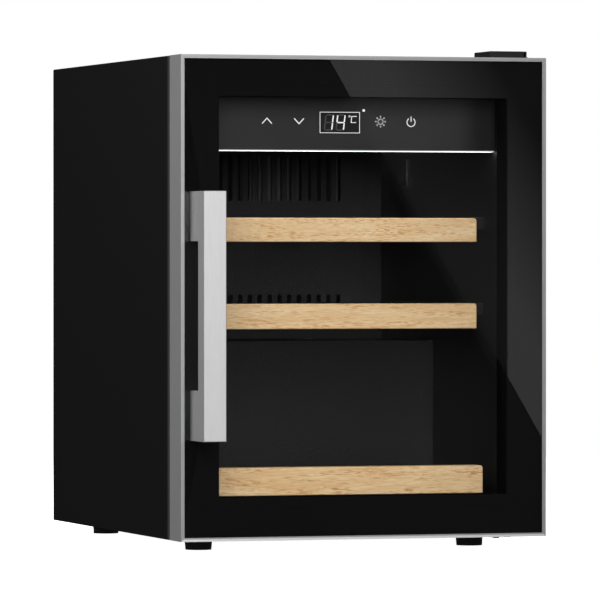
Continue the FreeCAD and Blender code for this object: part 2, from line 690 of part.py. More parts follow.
def air_duct_cover():
    """A shallow cover on the cavity's back wall, with outlet slots above and return slots below."""
    body = new_body("air_duct_cover")
    outline = rectangle("-duct_half", "duct_half", "low + duct_low", "low + duct_high")
    pad(body, sketch(body, "XZ", "front + duct_front", [outline]), "cavity_back - duct_front - slack")
    dress(body, "Fillet", "duct_round", "Y", lambda point: True)
    hollow = rectangle("-duct_half + duct_wall", "duct_half - duct_wall",
                       "low + duct_low + duct_wall", "low + duct_high - duct_wall")
    pocket(body, sketch(body, "XZ", "front + duct_front + duct_wall", [hollow]), "cavity_back - duct_front")
    start = "-vent_pitch * (vent_count - 1) / 2"
    for low, high in (("low + vent_low", "low + vent_high"), ("low + return_low", "low + return_high")):
        slot = rectangle(f"{start} - vent_width / 2", f"{start} + vent_width / 2", low, high)
        ends = [(start, low, "vent_width / 2"), (start, high, "vent_width / 2")]
        cuts = [pocket(body, sketch(body, "XZ", "front + duct_front - slack", outlines, circles),
                       "duct_wall + 2 * slack")
                for outlines, circles in (([slot], ()), ([], ends[:1]), ([], ends[1:]))]
        repeat(body, cuts, "X", "vent_pitch * (vent_count - 1)", "vent_count")
    return node(body)


def evaporator():
    """A finned block behind the outlet slots."""
    body = new_body("evaporator")
    outline = rectangle("-evaporator_half", "evaporator_half",
                        "low + evaporator_low", "low + evaporator_high")
    drawing = sketch(body, "XZ", "front + evaporator_front", [outline])
    pad(body, drawing, "evaporator_back - evaporator_front")
    start = "-evaporator_half + fin_pitch / 2"
    gap = rectangle(start, f"{start} + fin_gap",
                    "low + evaporator_low - slack", "low + evaporator_high + slack")
    first = pocket(body, sketch(body, "XZ", "front + evaporator_front - slack", [gap]), "fin_deep")
    repeat(body, [first], "X", "2 * evaporator_half - 2 * fin_pitch", "2 * evaporator_half / fin_pitch - 1")
    return node(body)


def fan():
    """A square fan housing with a spider behind, and the rotor that turns on it."""
    body = new_body("fan_housing")
    low, high = "low + fan_middle - fan_half", "low + fan_middle + fan_half"
    square = rectangle("-fan_half", "fan_half", low, high)
    pad(body, sketch(body, "XZ", "front + fan_front", [square], [("0", "low + fan_middle", "fan_bore")]),
        "fan_thick")
    rear = "front + fan_front + fan_thick - fan_spider"
    pad(body, sketch(body, "XZ", rear, [rectangle("-fan_strut", "fan_strut", low, high)]), "fan_spider")
    across = rectangle("-fan_half", "fan_half",
                       "low + fan_middle - fan_strut", "low + fan_middle + fan_strut")
    pad(body, sketch(body, "XZ", rear, [across]), "fan_spider")
    pad(body, sketch(body, "XZ", rear, circles=[("0", "low + fan_middle", "fan_hub")]), "fan_spider")
    bore = ("0", "low + fan_middle", "fan_shaft + fan_play")
    pocket(body, sketch(body, "XZ", f"{rear} - slack", circles=[bore]), "2 * fan_spider")
    node(body)
    fan_rotor(rear)


def fan_rotor(rear):
    """The hub, its vanes and its shaft, drawn about its own axis and set in the housing."""
    body = new_body("fan_rotor")
    pad(body, sketch(body, "XZ", "-hub_deep", circles=[("0", "0", "fan_hub")]), "hub_deep")
    pad(body, sketch(body, "XZ", "0", circles=[("0", "0", "fan_shaft")]), "fan_clear + fan_spider")
    fore, aft = "-(hub_deep + vane_deep) / 2", "-(hub_deep - vane_deep) / 2"
    vane = [("-vane_lean / 2", fore), ("-vane_lean / 2 + vane_thick", fore),
            ("vane_lean / 2 + vane_thick", aft), ("vane_lean / 2", aft)]
    first = pad(body, sketch(body, "XY", "vane_root", [vane]), "fan_tip - vane_root")
    pattern = body.newObject("PartDesign::PolarPattern", "fan_rotor_vanes")
    pattern.Originals = [first]
    axes = {part.Role: part for part in body.Origin.OriginFeatures}
    pattern.Axis = (axes["Y_Axis"], [""])
    pattern.Angle = 360
    bind(pattern, Occurrences="fan_blades")
    body.Tip = pattern
    place(body, "0", f"{rear} - fan_clear", "low + fan_middle")
    return node(body)


def temperature_sensor():
    """The sensor's small housing on the cavity's right wall."""
    body = new_body("temperature_sensor")
    outline = rectangle("front + sensor_back - sensor_half", "front + sensor_back + sensor_half",
                        "low + sensor_middle - sensor_long / 2", "low + sensor_middle + sensor_long / 2")
    pad(body, sketch(body, "YZ", "cavity_half - sensor_proud", [outline]), "sensor_proud - slack")
    dress(body, "Fillet", "sensor_round", "YZ", lambda point: near(point.x, "cavity_half - sensor_proud"))
    return node(body)


def grommet_places():
    """Where the compressor's four rubber mounts go, seen from above."""
    return [
        (f"compressor_across + ({x}) * (mount_half_wide - grommet_inset)",
         f"front + compressor_back + ({y}) * (mount_half_deep - grommet_inset)")
        for x in (-1, 1) for y in (-1, 1)
    ]


def compressor():
    """A domed steel can with a weld seam, on a plate that four rubber mounts carry."""
    body = new_body("compressor")
    can = ("compressor_across", "front + compressor_back", "compressor_radius")
    pad(body, sketch(body, "XY", "low + compressor_low", circles=[can]), "compressor_high - compressor_low")
    plain = body.Tip
    edges = [f"Edge{index}" for index, edge in enumerate(plain.Shape.Edges, start=1)
             if isinstance(edge.Curve, Part.Circle)]
    dome = body.newObject("PartDesign::Fillet", "compressor_domes")
    dome.Base = (plain, edges)
    bind(dome, Radius="dome_round")
    settle(dome)
    seam = ("compressor_across", "front + compressor_back", "compressor_radius + seam_proud")
    pad(body, sketch(body, "XY", "low + seam_at", circles=[seam]), "seam_high")
    node(body)
    across, along, top = "compressor_across", "front + compressor_back", "low + compressor_low"
    plate = block("mount_sheet", (f"{across} - mount_half_wide", f"{across} + mount_half_wide"),
                  (f"{along} - mount_half_deep", f"{along} + mount_half_deep"), (f"{top} - mount_plate", top))
    necks, rubbers = [], []
    for index, (x, y) in enumerate(grommet_places()):
        necks.append(rod(f"mount_hole_{index}", "Z", (x, y, "low"), "2 * compressor_low", "grommet_neck"))
        rubbers.append(grommet(index, x, y))
    node(cut("compressor_plate", plate, group("mount_holes", necks)))
    node(group("compressor_grommets", rubbers))


def compressor_bolts():
    """A bolt through each of the compressor's mounts and the base pan."""
    bolts = []
    for index, (x, y) in enumerate(grommet_places()):
        shank = rod(f"bolt_shank_{index}", "Z", (x, y, "low"), "compressor_low + grommet_top", "bolt")
        head = rod(f"bolt_head_{index}", "Z", (x, y, "low + compressor_low + grommet_top"),
                   "bolt_head_high", "bolt_head")
        bolts.append(join(f"compressor_bolt_{index}", [shank, head]))
    return bolts


def grommet(index, x, y):
    """A rubber mount with a neck through the plate and a bore for its bolt."""
    foot_part = rod(f"grommet_foot_{index}", "Z", (x, y, "low + pan_thick"),
                    "compressor_low - mount_plate - pan_thick", "grommet_radius")
    neck = rod(f"grommet_neck_{index}", "Z", (x, y, "low + compressor_low - mount_plate"),
               "mount_plate", "grommet_neck")
    cap = rod(f"grommet_cap_{index}", "Z", (x, y, "low + compressor_low"), "grommet_top", "grommet_radius")
    bore = rod(f"grommet_bore_{index}", "Z", (x, y, "low"), "2 * compressor_low", "bolt")
    return cut(f"grommet_{index}", join(f"grommet_rubber_{index}", [foot_part, neck, cap]), bore)


def machine_fittings():
    """What stands round the compressor: its terminal cover, tray, drain, drier, pipes and power box."""
    side = "compressor_across + compressor_radius"
    cover = block("terminal_block", (f"{side} - cover_thick / 2", f"{side} + cover_thick"),
                  ("front + compressor_back - cover_half", "front + compressor_back + cover_half"),
                  ("low + cover_low", "low + cover_high"))
    can = rod("terminal_recess", "Z", ("compressor_across", "front + compressor_back", "low"),
              "machine_top", "compressor_radius + seam_proud + slack")
    node(cut("terminal_cover", cover, can))
    evaporation_tray()
    across, along, low = "drier_across", "front + drier_back", "low + drier_low"
    drier = [
        taper("drier_foot", (across, along, f"{low} - drier_cone"), "drier_cone", "pipe", "drier_radius"),
        rod("drier_can", "Z", (across, along, low), "drier_long", "drier_radius"),
        taper("drier_head", (across, along, f"{low} + drier_long"), "drier_cone", "drier_radius", "pipe"),
    ]
    node(join("filter_drier", drier))
    node(block("power_box", ("box_left", "box_right"), ("front + box_front", "front + box_back"),
               ("low + pan_thick", "low + box_high")))


def evaporation_tray():
    """The tray over the compressor that catches water from the drain tube."""
    across, along = "compressor_across", "front + compressor_back"
    outer = block("tray_block", (f"{across} - tray_half_wide", f"{across} + tray_half_wide"),
                  (f"{along} - tray_half_deep", f"{along} + tray_half_deep"),
                  ("low + tray_low", "low + tray_high"))
    inner = block("tray_hollow",
                  (f"{across} - tray_half_wide + tray_wall", f"{across} + tray_half_wide - tray_wall"),
                  (f"{along} - tray_half_deep + tray_wall", f"{along} + tray_half_deep - tray_wall"),
                  ("low + tray_low + tray_wall", "low + tray_high + tray_wall"))
    node(cut("evaporation_tray", outer, inner))
    pipe = rod("drain_pipe", "Z", (across, "front + drain_back", "low + tray_high - 2 * tray_wall"),
               "step_top - tray_high + 2 * tray_wall", "drain_outer")
    bore = rod("drain_bore", "Z", (across, "front + drain_back", "low + tray_low"), "step_top", "drain_inner")
    node(cut("drain_tube", pipe, bore))


def refrigerant_pipes():
    """Copper pipes between the compressor, the drier and the foam overhead."""
    reach = "compressor_across - compressor_radius"
    middle, top = "front + compressor_back", "low + machine_top - slack"
    suction, discharge = "low + seam_at + suction_rise", "low + seam_at - discharge_drop"
    begin, end = f"{middle} - discharge_start", f"{middle} - discharge_end"
    pipes = {
        "suction_pipe": [
            (f"{reach} + slack", middle, suction), (f"{reach} - suction_out", middle, suction),
            (f"{reach} - suction_out", middle, top),
        ],
        "discharge_pipe": [
            (f"{reach} + slack", begin, discharge), (f"{reach} - discharge_out", begin, discharge),
            (f"{reach} - discharge_out", end, discharge), (f"{reach} - discharge_out", end, top),
        ],
        "liquid_pipe": [
            ("drier_across", "front + drier_back", "low + drier_low + drier_long + drier_cone"),
            ("drier_across", "front + drier_back", top),
        ],
    }
    bend, radius = 3 * number("pipe"), number("pipe")
    node(group("refrigerant_pipes", [tube(name, corners, bend, radius) for name, corners in pipes.items()]))


# --- Door ---------------------------------------------------------------------------------------


def door_frame():
    """Four mitred lengths of one aluminium extrusion, each turned to its side of the door."""
    middle = "(low + high) / 2"
    sides = {
        "door_stile_left": (0, "-half_width", middle, "body_height", ()),
        "door_stile_right": (180, "half_width", middle, "body_height", (-1, 1)),
        "door_rail_top": (90, "0", "high", "width", (1,)),
        "door_rail_bottom": (-90, "0", "low", "width", (-1,)),
    }
    for name, (angle, x, z, length, hinge_ends) in sides.items():
        body = new_body(name)
        pad(body, sketch(body, "XY", "0", [frame_section()]), length, symmetric=True)
        for end in (-1, 1):
            corner = f"({end}) * ({length}) / 2"
            inside = f"({end}) * (({length}) / 2 - frame_return)"
            triangle = [("0", corner), ("frame_return", corner), ("frame_return", inside)]
            pocket(body, sketch(body, "XZ", "-slack", [triangle]), "door_depth + 2 * slack")
        for end in hinge_ends:
            hinge_notch(body, name, end, length)
        body.Placement = FreeCAD.Placement(Vector(), FreeCAD.Rotation(AXES["Y"], angle))
        node(place(body, x, "front", z))


def frame_section():
    """The extrusion's section: a stepped lip over the glass, a side wall and a return behind."""
    return [
        ("0", "0"), ("lip_ridge", "0"), ("lip_ridge", "lip_drop"), ("lip", "lip_drop"),
        ("lip", "lip_thick"), ("frame_wall", "lip_thick"), ("frame_wall", "door_depth - return_thick"),
        ("frame_return", "door_depth - return_thick"), ("frame_return", "door_depth"), ("0", "door_depth"),
    ]


def hinge_notch(body, name, end, length):
    """Room for a hinge tongue, open to the right, the back and outwards."""
    edge = f"({end}) * (({length}) / 2 + slack)"
    if "stile" in name:
        notch = rectangle("-slack", "notch_left", edge, f"({end}) * (({length}) / 2 - notch_deep)")
    else:
        notch = rectangle("-slack", "notch_deep", edge, f"({end}) * (({length}) / 2 - notch_left)")
    pocket(body, sketch(body, "XZ", "notch_front", [notch]), "door_depth - notch_front + slack")


def framed(inset):
    """The left, right, low and high sides of a rectangle that lies inside the door's outline."""
    half = f"half_width - ({inset})"
    return (f"-({half})", half, f"low + ({inset})", f"high - ({inset})")


def glazing():
    """The double glazing: an outer pane to the frame, a spacer and an inner pane."""
    edge = "frame_wall + slack"
    outer = new_body("outer_glass")
    holes = [("post_screw_across", z, "post_screw + 2 * slack") for z in post_places()]
    pad(outer, sketch(outer, "XZ", "glass_front", [rectangle(*framed(edge))], holes), "outer_glass")
    node(outer)
    unit = ("-unit_half", "unit_half", "unit_low", "unit_high")
    window = ("-window_half", "window_half", "low + window_low", "low + window_high")
    node(ring_body("glass_spacer", [(unit, window, "glass_back", "spacer_back")]))
    node(block("inner_glass", ("-unit_half", "unit_half"), ("spacer_back", "inner_glass_back"),
               ("unit_low", "unit_high")))


def door_inner_frame():
    """The black moulding behind the outer pane that holds the inner pane and the seal."""
    pane = ("-unit_half - slack", "unit_half + slack", "unit_low - slack", "unit_high + slack")
    mouth = ("-window_half - ring_seat", "window_half + ring_seat",
             "low + window_low - ring_seat", "low + window_high + ring_seat")
    outer = framed("ring_outer")
    flange_back = "glass_back + ring_flange"
    seat = "(inner_glass_back + slack)"
    body = ring_body("door_inner_frame", [
        (framed("frame_wall + 2 * slack"), pane, "glass_back", flange_back),
        (outer, pane, flange_back, seat),
        (outer, mouth, seat, "front + ring_back"),
    ])
    holes = [("post_screw_across", z, "post_screw + slack") for z in post_places()]
    pocket(body, sketch(body, "XZ", "glass_back - slack", circles=holes), "door_depth")
    wells = [("post_screw_across", z, "post_screw_head + 2 * slack") for z in post_places()]
    pocket(body, sketch(body, "XZ", "front + post_screw_seat", circles=wells), "door_depth")
    return node(body)


def door_gasket():
    """The magnetic seal: a broad foot on the moulding and a narrower lip towards the cabinet."""
    foot_outer = framed("seal_outer")
    foot_inner = framed("seal_outer + seal_wide")
    lip_outer = framed("seal_outer + seal_step")
    lip_inner = framed("seal_outer + seal_wide - seal_step")
    middle = "front + (ring_back + seal_back) / 2"
    return node(ring_body("door_gasket", [
        (foot_outer, foot_inner, "front + ring_back", middle),
        (lip_outer, lip_inner, middle, "front + seal_back"),
    ]))


def post_places():
    """Heights of the handle's two screws."""
    return ("low + handle_low + post_long / 2", "low + handle_high - post_long / 2")


def handle():
    """A flat bar on two long posts, each held by a screw from inside the door."""
    bar = new_body("handle_bar")
    section = [("handle_middle - handle_half", "front - handle_reach"),
               ("handle_middle + handle_half", "front - handle_reach"),
               ("handle_middle + handle_half", "bar_back"), ("handle_middle - handle_half", "bar_back")]
    pad(bar, sketch(bar, "XY", "low + handle_low", [section]), "handle_high - handle_low")
    dress(bar, "Fillet", "handle_round", "XZ", lambda point: near(point.y, "front - handle_reach"))
    node(bar)
    posts, screws = [], []
    for end, z in zip(("lower", "upper"), post_places()):
        post = block(f"{end}_post", ("handle_middle - handle_half", "handle_middle + handle_half"),
                     ("bar_back", "glass_front"), (f"{z} - post_long / 2", f"{z} + post_long / 2"))
        start = "(glass_front - post_screw_in)"
        hole = rod(f"{end}_post_hole", "Y", ("post_screw_across", start, z), "post_screw_in", "post_screw")
        posts.append(cut(f"{end}_handle_post", post, hole))
        shank = rod(f"{end}_shank", "Y", ("post_screw_across", start, z),
                    f"front + post_screw_seat - {start}", "post_screw")
        head = rod(f"{end}_head", "Y", ("post_screw_across", "front + post_screw_seat", z),
                   "post_head_high", "post_screw_head")
        screws.append(join(f"{end}_handle_screw", [shank, head]))
    node(group("handle_posts", posts))
    node(group("handle_screws", screws))


# --- Hinges -------------------------------------------------------------------------------------


def hinge(name, up, face):
    """A bracket on the cabinet with a tongue in the door's notch and a pin; up is 1 above, -1 below."""
    def level(distance):
        return f"{face} + ({up}) * ({distance})"

    def band(first, last):
        return (level(first), level(last)) if up > 0 else (level(last), level(first))

    right = ("pin_x - tongue_half", "pin_x + tongue_half")
    under = "-tongue_drop - tongue_thick"
    tongue = band(under, "-tongue_drop")
    pieces = [
        block(f"{name}_plate", ("half_width - bracket_left", "half_width - bracket_right"),
              ("cabinet_front + plate_gap", "front + bracket_back"), band("0", "bracket_thick")),
        block(f"{name}_bridge", right, ("front + web_front", "cabinet_front + bridge_lap"),
              band("0", "bracket_thick")),
        block(f"{name}_web", right, ("front + web_front", "front + web_front + web_thick"),
              band(under, "bracket_thick")),
        block(f"{name}_tongue", right, ("pin_y", "front + web_front + web_thick"), tongue),
        rod(f"{name}_end", "Z", ("pin_x", "pin_y", tongue[0]), "tongue_thick", "tongue_half"),
        rod(f"{name}_pin", "Z", ("pin_x", "pin_y", band(f"{under} - pin_long", under)[0]), "pin_long", "pin"),
    ]
    holes = [
        rod(f"{name}_hole_{index}", "Z", (x, y, f"{face} - 3 * bracket_thick"), "6 * bracket_thick",
            "screw_core + slack")
        for index, (x, y) in enumerate(hinge_screw_places())
    ]
    return node(cut(name, join(f"{name}_solid", pieces), group(f"{name}_holes", holes)))


def hinge_screws():
    """Three screws through each bracket into the cabinet."""
    screws = []
    for place_name, face, up in (("top", "high", 1), ("bottom", "low", -1)):
        for index, (x, y) in enumerate(hinge_screw_places()):
            name = f"{place_name}_hinge_screw_{index}"
            sheet_metal = "sheet" if up > 0 else "pan_thick"
            start = f"{face} - {sheet_metal}" if up > 0 else f"{face} - bracket_thick"
            head = f"{face} + bracket_thick" if up > 0 else f"{face} - bracket_thick - screw_head_high"
            shank = rod(f"{name}_shank", "Z", (x, y, start), f"{sheet_metal} + bracket_thick", "screw_core")
            cap = rod(f"{name}_cap", "Z", (x, y, head), "screw_head_high", "screw_head")
            screws.append(join(name, [shank, cap]))
    return screws


def hinge_cap():
    """The black cap over the upper bracket, with a rounded front corner."""
    body = new_body("hinge_cap")
    left, right = "half_width - cap_left", "half_width - cap_right"
    outline = rectangle(left, right, "front + cap_front", "front + cap_back")
    pad(body, sketch(body, "XY", "high + slack", [outline]), "cap_high - slack")
    dress(body, "Fillet", "cap_round", "Z",
          lambda point: near(point.x, right) and near(point.y, "front + cap_front"))
    dress(body, "Fillet", "cap_wall / 2", "XY", lambda point: near(point.z, "high + cap_high"))
    inner_left, inner_right = f"{left} + cap_wall", f"{right} - cap_wall"
    fore, rear = "front + web_front - slack", "front + cap_back - cap_wall"
    beside_bridge, behind_bridge = "pin_x + tongue_half + slack", "cabinet_front + bridge_lap + slack"
    hollow = [
        (inner_left, fore), (beside_bridge, fore), (beside_bridge, behind_bridge),
        (inner_right, behind_bridge), (inner_right, rear), (inner_left, rear),
    ]
    pocket(body, sketch(body, "XY", "high", [hollow]), "cap_high - cap_wall")
    return node(body)


def corner_keys():
    """Angle blocks inside the frame's corners; the two on the right hold the hinge bushes."""
    keys, bushes = [], []
    for side, sign in SIDES.items():
        for level, face, up in (("top", "high", -1), ("bottom", "low", 1)):
            def across(distance):
                return f"({sign}) * (half_width - ({distance}))"

            def height(distance):
                return f"{face} + ({up}) * ({distance})"

            name = f"{level}_{side}_key"
            arms = []
            for reach, drop in (("key_arm", "key_inner"), ("key_inner", "key_arm")):
                x = (across(reach), across("key_outer"))
                z = (height("notch_deep + slack"), height(drop))
                arms.append(block(f"{name}_{reach}", x if side == "right" else x[::-1],
                                  ("front + key_front", "front + key_back"), z if up > 0 else z[::-1]))
            key = join(f"{name}_solid", arms)
            if side == "right":
                start = height("notch_deep" if up > 0 else "notch_deep + pin_long + pin_room")
                bore = rod(f"{name}_bore", "Z", ("pin_x", "pin_y", start), "pin_long + pin_room",
                           "pin + pin_play + bush_wall")
                key = cut(f"{name}_bored", key, bore)
                bushes.append(bush(level, start))
            keys.append(key)
    node(group("corner_keys", keys))
    node(group("hinge_bushes", bushes))


def bush(level, start):
    """A plain sleeve for a hinge pin."""
    sleeve = rod(f"{level}_bush_sleeve", "Z", ("pin_x", "pin_y", start), "pin_long + pin_room",
                 "pin + pin_play + bush_wall")
    bore = rod(f"{level}_bush_bore", "Z", ("pin_x", "pin_y", f"{start} - slack"),
               "pin_long + pin_room + 2 * slack", "pin + pin_play")
    return cut(f"{level}_bush", sleeve, bore)


# --- Shelves ------------------------------------------------------------------------------------


def shelf(name, cradled):
    """A wooden front on a wire rack; the upper racks dip under each bottle."""
    sizes = {key: f"{name}_{key}" for key in ("half", "low", "high", "wire", "wire_across")}
    low, high = f"low + {sizes['low']}", f"low + {sizes['high']}"
    board = new_body(f"{name}_front")
    outline = rectangle(f"-{sizes['half']}", sizes["half"], low, high)
    pad(board, sketch(board, "XZ", "front + board_front", [outline]), "board_deep")
    dress(board, "Fillet", "board_round", "Y", lambda point: near(point.z, high))
    dress(board, "Fillet", "board_edge", "XZ", lambda point: near(point.y, "front + board_front"))
    middle = f"low + {sizes['wire']}"
    screw_xs = [f"{sign} * tab_across + ({along}) * tab_screw"
                for sign in SIDES.values() for along in (-1, 1)]
    holes = [(x, middle, "wood_screw") for x in screw_xs]
    rear = "front + board_front + board_deep"
    pocket(board, sketch(board, "XZ", f"{rear} - wood_screw_in", circles=holes), "2 * wood_screw_in")
    node(board)
    wires = cradle_wires(name, sizes) if cradled else rack_wires(name, sizes)
    tabs, screws = [], []
    for side, sign in SIDES.items():
        x = f"{sign} * tab_across"
        tab = block(f"{name}_{side}_tab", (f"{x} - tab_half", f"{x} + tab_half"),
                    (rear, f"{rear} + tab_thick"), (f"{middle} - tab_rise", f"{middle} + tab_rise"))
        link = block(f"{name}_{side}_link", (f"{x} - link_half", f"{x} + link_half"),
                     (rear, "front + wire_front"), (f"{middle} - tab_thick / 2", f"{middle} + tab_thick / 2"))
        tabs.append(join(f"{name}_{side}_tab_link", [tab, link]))
    bores = []
    for index, x in enumerate(screw_xs):
        bores.append(rod(f"{name}_tab_hole_{index}", "Y", (x, f"{rear} - slack", middle),
                         "tab_thick + 2 * slack", "wood_screw"))
        shank = rod(f"{name}_shank_{index}", "Y", (x, f"{rear} - wood_screw_in", middle),
                    "wood_screw_in + tab_thick", "wood_screw")
        head = rod(f"{name}_head_{index}", "Y", (x, f"{rear} + tab_thick", middle), "wood_screw_head_high",
                   "wood_screw_head")
        screws.append(join(f"{name}_screw_{index}", [shank, head]))
    rack = join(f"{name}_rack", wires + tabs)
    node(cut(f"{name}_wires", rack, group(f"{name}_tab_holes", bores)))
    node(group(f"{name}_screws", screws))


def rack_frame(name, sizes, rear):
    """Two side wires that run in the rails, and the cross wires at their ends."""
    height = f"low + {sizes['wire']}"
    side_length = f"({rear}) - wire_front"
    wires = [
        rod(f"{name}_{side}_side", "Y", (f"{sign} * {sizes['wire_across']}", "front + wire_front", height),
            side_length, "side_wire")
        for side, sign in SIDES.items()
    ]
    for index, y in enumerate(("wire_front", f"({rear})")):
        start = (f"-{sizes['wire_across']} - side_wire", f"front + {y}", height)
        wires.append(rod(f"{name}_end_{index}", "X", start,
                         f"2 * {sizes['wire_across']} + 2 * side_wire", "side_wire"))
    return wires


def cradle_wires(name, sizes):
    """Waved wires that dip under the bottles, with two straight wires along each dip."""
    wires = rack_frame(name, sizes, "wire_back")
    across = number(sizes["wire_across"])
    dip, crest, pitch = number("dip_radius"), number("crest_radius"), number("bottle_pitch")
    side_height = number(f"low + {sizes['wire']}")
    bottles = int(DIMENSIONS["bottles_across"])
    outer = (bottles - 1) / 2 * pitch
    dip_centre = side_height + math.sqrt(dip ** 2 - (across - outer) ** 2)
    for index in range(int(DIMENSIONS["cradle_count"])):
        y = number(f"front + cradle_first + {index} * cradle_pitch")
        edges = wave(across, bottles, pitch, dip, crest, dip_centre, y)
        wires.append(sweep(f"{name}_cradle_{index}", edges, number("cradle_wire")))
    out = number("long_wire_out")
    height = dip_centre - math.sqrt(dip ** 2 - out ** 2)
    length = "(cradle_count - 1) * cradle_pitch + 2 * long_wire_over"
    for bottle in range(bottles):
        for side, sign in SIDES.items():
            x = f"({bottle} - (bottles_across - 1) / 2) * bottle_pitch + {sign} * long_wire_out"
            start = (x, "front + cradle_first - long_wire_over", str(height))
            wires.append(rod(f"{name}_long_{bottle}_{side}", "Y", start, length, "long_wire"))
    return wires


def wave(across, bottles, pitch, dip, crest, dip_centre, y):
    """Arcs that dip under each bottle and rise between bottles, from one side wire to the other."""
    outer = (bottles - 1) / 2 * pitch
    drop = math.sqrt((dip + crest) ** 2 - (pitch / 2) ** 2)
    share = dip / (dip + crest)
    side_height = dip_centre - math.sqrt(dip ** 2 - (across - outer) ** 2)
    edges = []
    start = Vector(-across, y, side_height)
    for bottle in range(bottles - 1):
        centre = -outer + bottle * pitch
        lowest = Vector(centre, y, dip_centre - dip)
        meet = Vector(centre + share * pitch / 2, y, dip_centre - share * drop)
        edges.append(Part.Arc(start, lowest, meet).toShape())
        summit = Vector(centre + pitch / 2, y, dip_centre - drop + crest)
        start = Vector(centre + pitch - share * pitch / 2, y, dip_centre - share * drop)
        edges.append(Part.Arc(meet, summit, start).toShape())
    lowest = Vector(outer, y, dip_centre - dip)
    edges.append(Part.Arc(start, lowest, Vector(across, y, side_height)).toShape())
    return edges


def rack_wires(name, sizes):
    """A flat rack in front of the step, with cross wires for bottles that lie sideways."""
    wires = rack_frame(name, sizes, "rack_back")
    for index in range(int(DIMENSIONS["rack_count"])):
        start = (f"-{sizes['wire_across']}", f"front + rack_first + {index} * rack_pitch",
                 f"low + {sizes['wire']}")
        wires.append(rod(f"{name}_bar_{index}", "X", start, f"2 * {sizes['wire_across']}", "cradle_wire"))
    return wires


def shelf_rails():
    """Grooved rails on the cavity's walls, one each side of each shelf."""
    rails = []
    for name, shelf_sizes in SHELVES.items():
        rear = "wire_back" if shelf_sizes["cradled"] else "rack_back"
        height, across = f"low + {name}_wire", f"{name}_wire_across"
        reach = "side_wire + groove_play"
        mouth, floor = f"{across} + groove_mouth", f"{across} + {reach}"
        under, over = f"{height} - ({reach})", f"{height} + {reach}"
        corners = [
            ("cavity_half", f"{under} - groove_lip"), (mouth, f"{under} - groove_lip"), (mouth, under),
            (floor, under), (floor, over), (mouth, over), (mouth, f"{over} + groove_lip"),
            ("cavity_half", f"{over} + groove_lip"),
        ]
        length = f"{rear} + side_wire + rail_over - rail_front"
        for side, sign in SIDES.items():
            body = new_body(f"{name}_{side}_rail")
            profile = [(f"{sign} * ({x})", z) for x, z in corners]
            pad(body, sketch(body, "XZ", "front + rail_front", [profile]), length)
            rails.append(body)
    return node(group("shelf_rails", rails))


# --- Assembly -----------------------------------------------------------------------------------


def build():
    outer_shell()
    base_pan()
    inner_liner()
    liner_step()
    insulation_foam(condenser_coil())
    back_panel()
    rear_grille()
    cabinet_screws()
    mains_inlet()
    feet()
    control_fascia()
    display()
    cavity_light()
    air_duct_cover()
    evaporator()
    fan()
    temperature_sensor()
    compressor()
    machine_fittings()
    refrigerant_pipes()
    door_frame()
    glazing()
    door_inner_frame()
    door_gasket()
    handle()
    hinge("hinge_bracket_top", 1, "high")
    hinge("hinge_bracket_bottom", -1, "low")
    hinge_cap()
    corner_keys()
    for name, shelf_sizes in SHELVES.items():
        shelf(name, shelf_sizes["cradled"])
    shelf_rails()


def check_and_export():
    """Stop on any failed object or bad shape, then write each piece to its own file."""
    doc.recompute()
    for feature in doc.Objects:
        if "Invalid" in feature.State or "Error" in feature.State:
            raise RuntimeError(f"{feature.Label} has state {feature.State}")
    for feature in NODES:
        if feature.Shape.isNull() or not feature.Shape.isValid() or not feature.Shape.Solids:
            raise RuntimeError(f"{feature.Label} has no valid solid")
    os.makedirs("parts", exist_ok=True)
    for feature in NODES:
        feature.Shape.exportStep(f"parts/{feature.Label}.step")
        print(feature.Label, len(feature.Shape.Solids), round(feature.Shape.Volume / 1000, 1), "cm3")


NAMES = set()
fill_sheet()
build()
check_and_export()
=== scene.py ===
import json
import math

import bmesh
import bpy
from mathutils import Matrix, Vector


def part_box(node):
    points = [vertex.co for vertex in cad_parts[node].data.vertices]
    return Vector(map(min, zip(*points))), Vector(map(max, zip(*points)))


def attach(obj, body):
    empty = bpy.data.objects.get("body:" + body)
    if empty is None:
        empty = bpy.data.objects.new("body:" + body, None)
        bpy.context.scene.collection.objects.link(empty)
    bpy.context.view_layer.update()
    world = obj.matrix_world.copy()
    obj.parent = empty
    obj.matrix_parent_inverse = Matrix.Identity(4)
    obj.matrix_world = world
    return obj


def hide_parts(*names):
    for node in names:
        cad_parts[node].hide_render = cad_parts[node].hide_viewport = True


# The looks of a free-standing wine cooler: finishes for its parts, the printed controls, the door
# seal and a plain studio. Lengths are in metres, in the frame of the parts.

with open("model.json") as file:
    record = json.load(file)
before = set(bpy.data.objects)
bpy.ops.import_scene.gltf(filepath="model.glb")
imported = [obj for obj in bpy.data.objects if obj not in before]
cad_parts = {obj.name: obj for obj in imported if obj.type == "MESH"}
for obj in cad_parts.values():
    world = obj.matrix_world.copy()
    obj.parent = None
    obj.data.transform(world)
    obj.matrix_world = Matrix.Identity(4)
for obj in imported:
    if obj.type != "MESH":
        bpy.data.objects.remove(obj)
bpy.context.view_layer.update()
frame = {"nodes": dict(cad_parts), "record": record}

SCENE = bpy.context.scene
MM = 0.001

# --- Camera and world ---------------------------------------------------------------------------

CAMERA_HEADING = math.radians(17.48)
CAMERA_DROP = math.radians(0.462)
CAMERA_DISTANCE = 5.587
CAMERA_LENS = 335.7
AIM_LEFT = 0.0687                # of the door's middle
AIM_HEIGHT = 0.240               # above the door's lower edge

WORLD_SEEN, WORLD_MIRRORED, WORLD_FILL = 1.0, 0.03, 0.35

door_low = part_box("door_stile_left")[0]
glass_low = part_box("outer_glass")[0]
fascia_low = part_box("control_fascia")[0]


def link(piece):
    """Put an object in the scene."""
    SCENE.collection.objects.link(piece)
    return piece


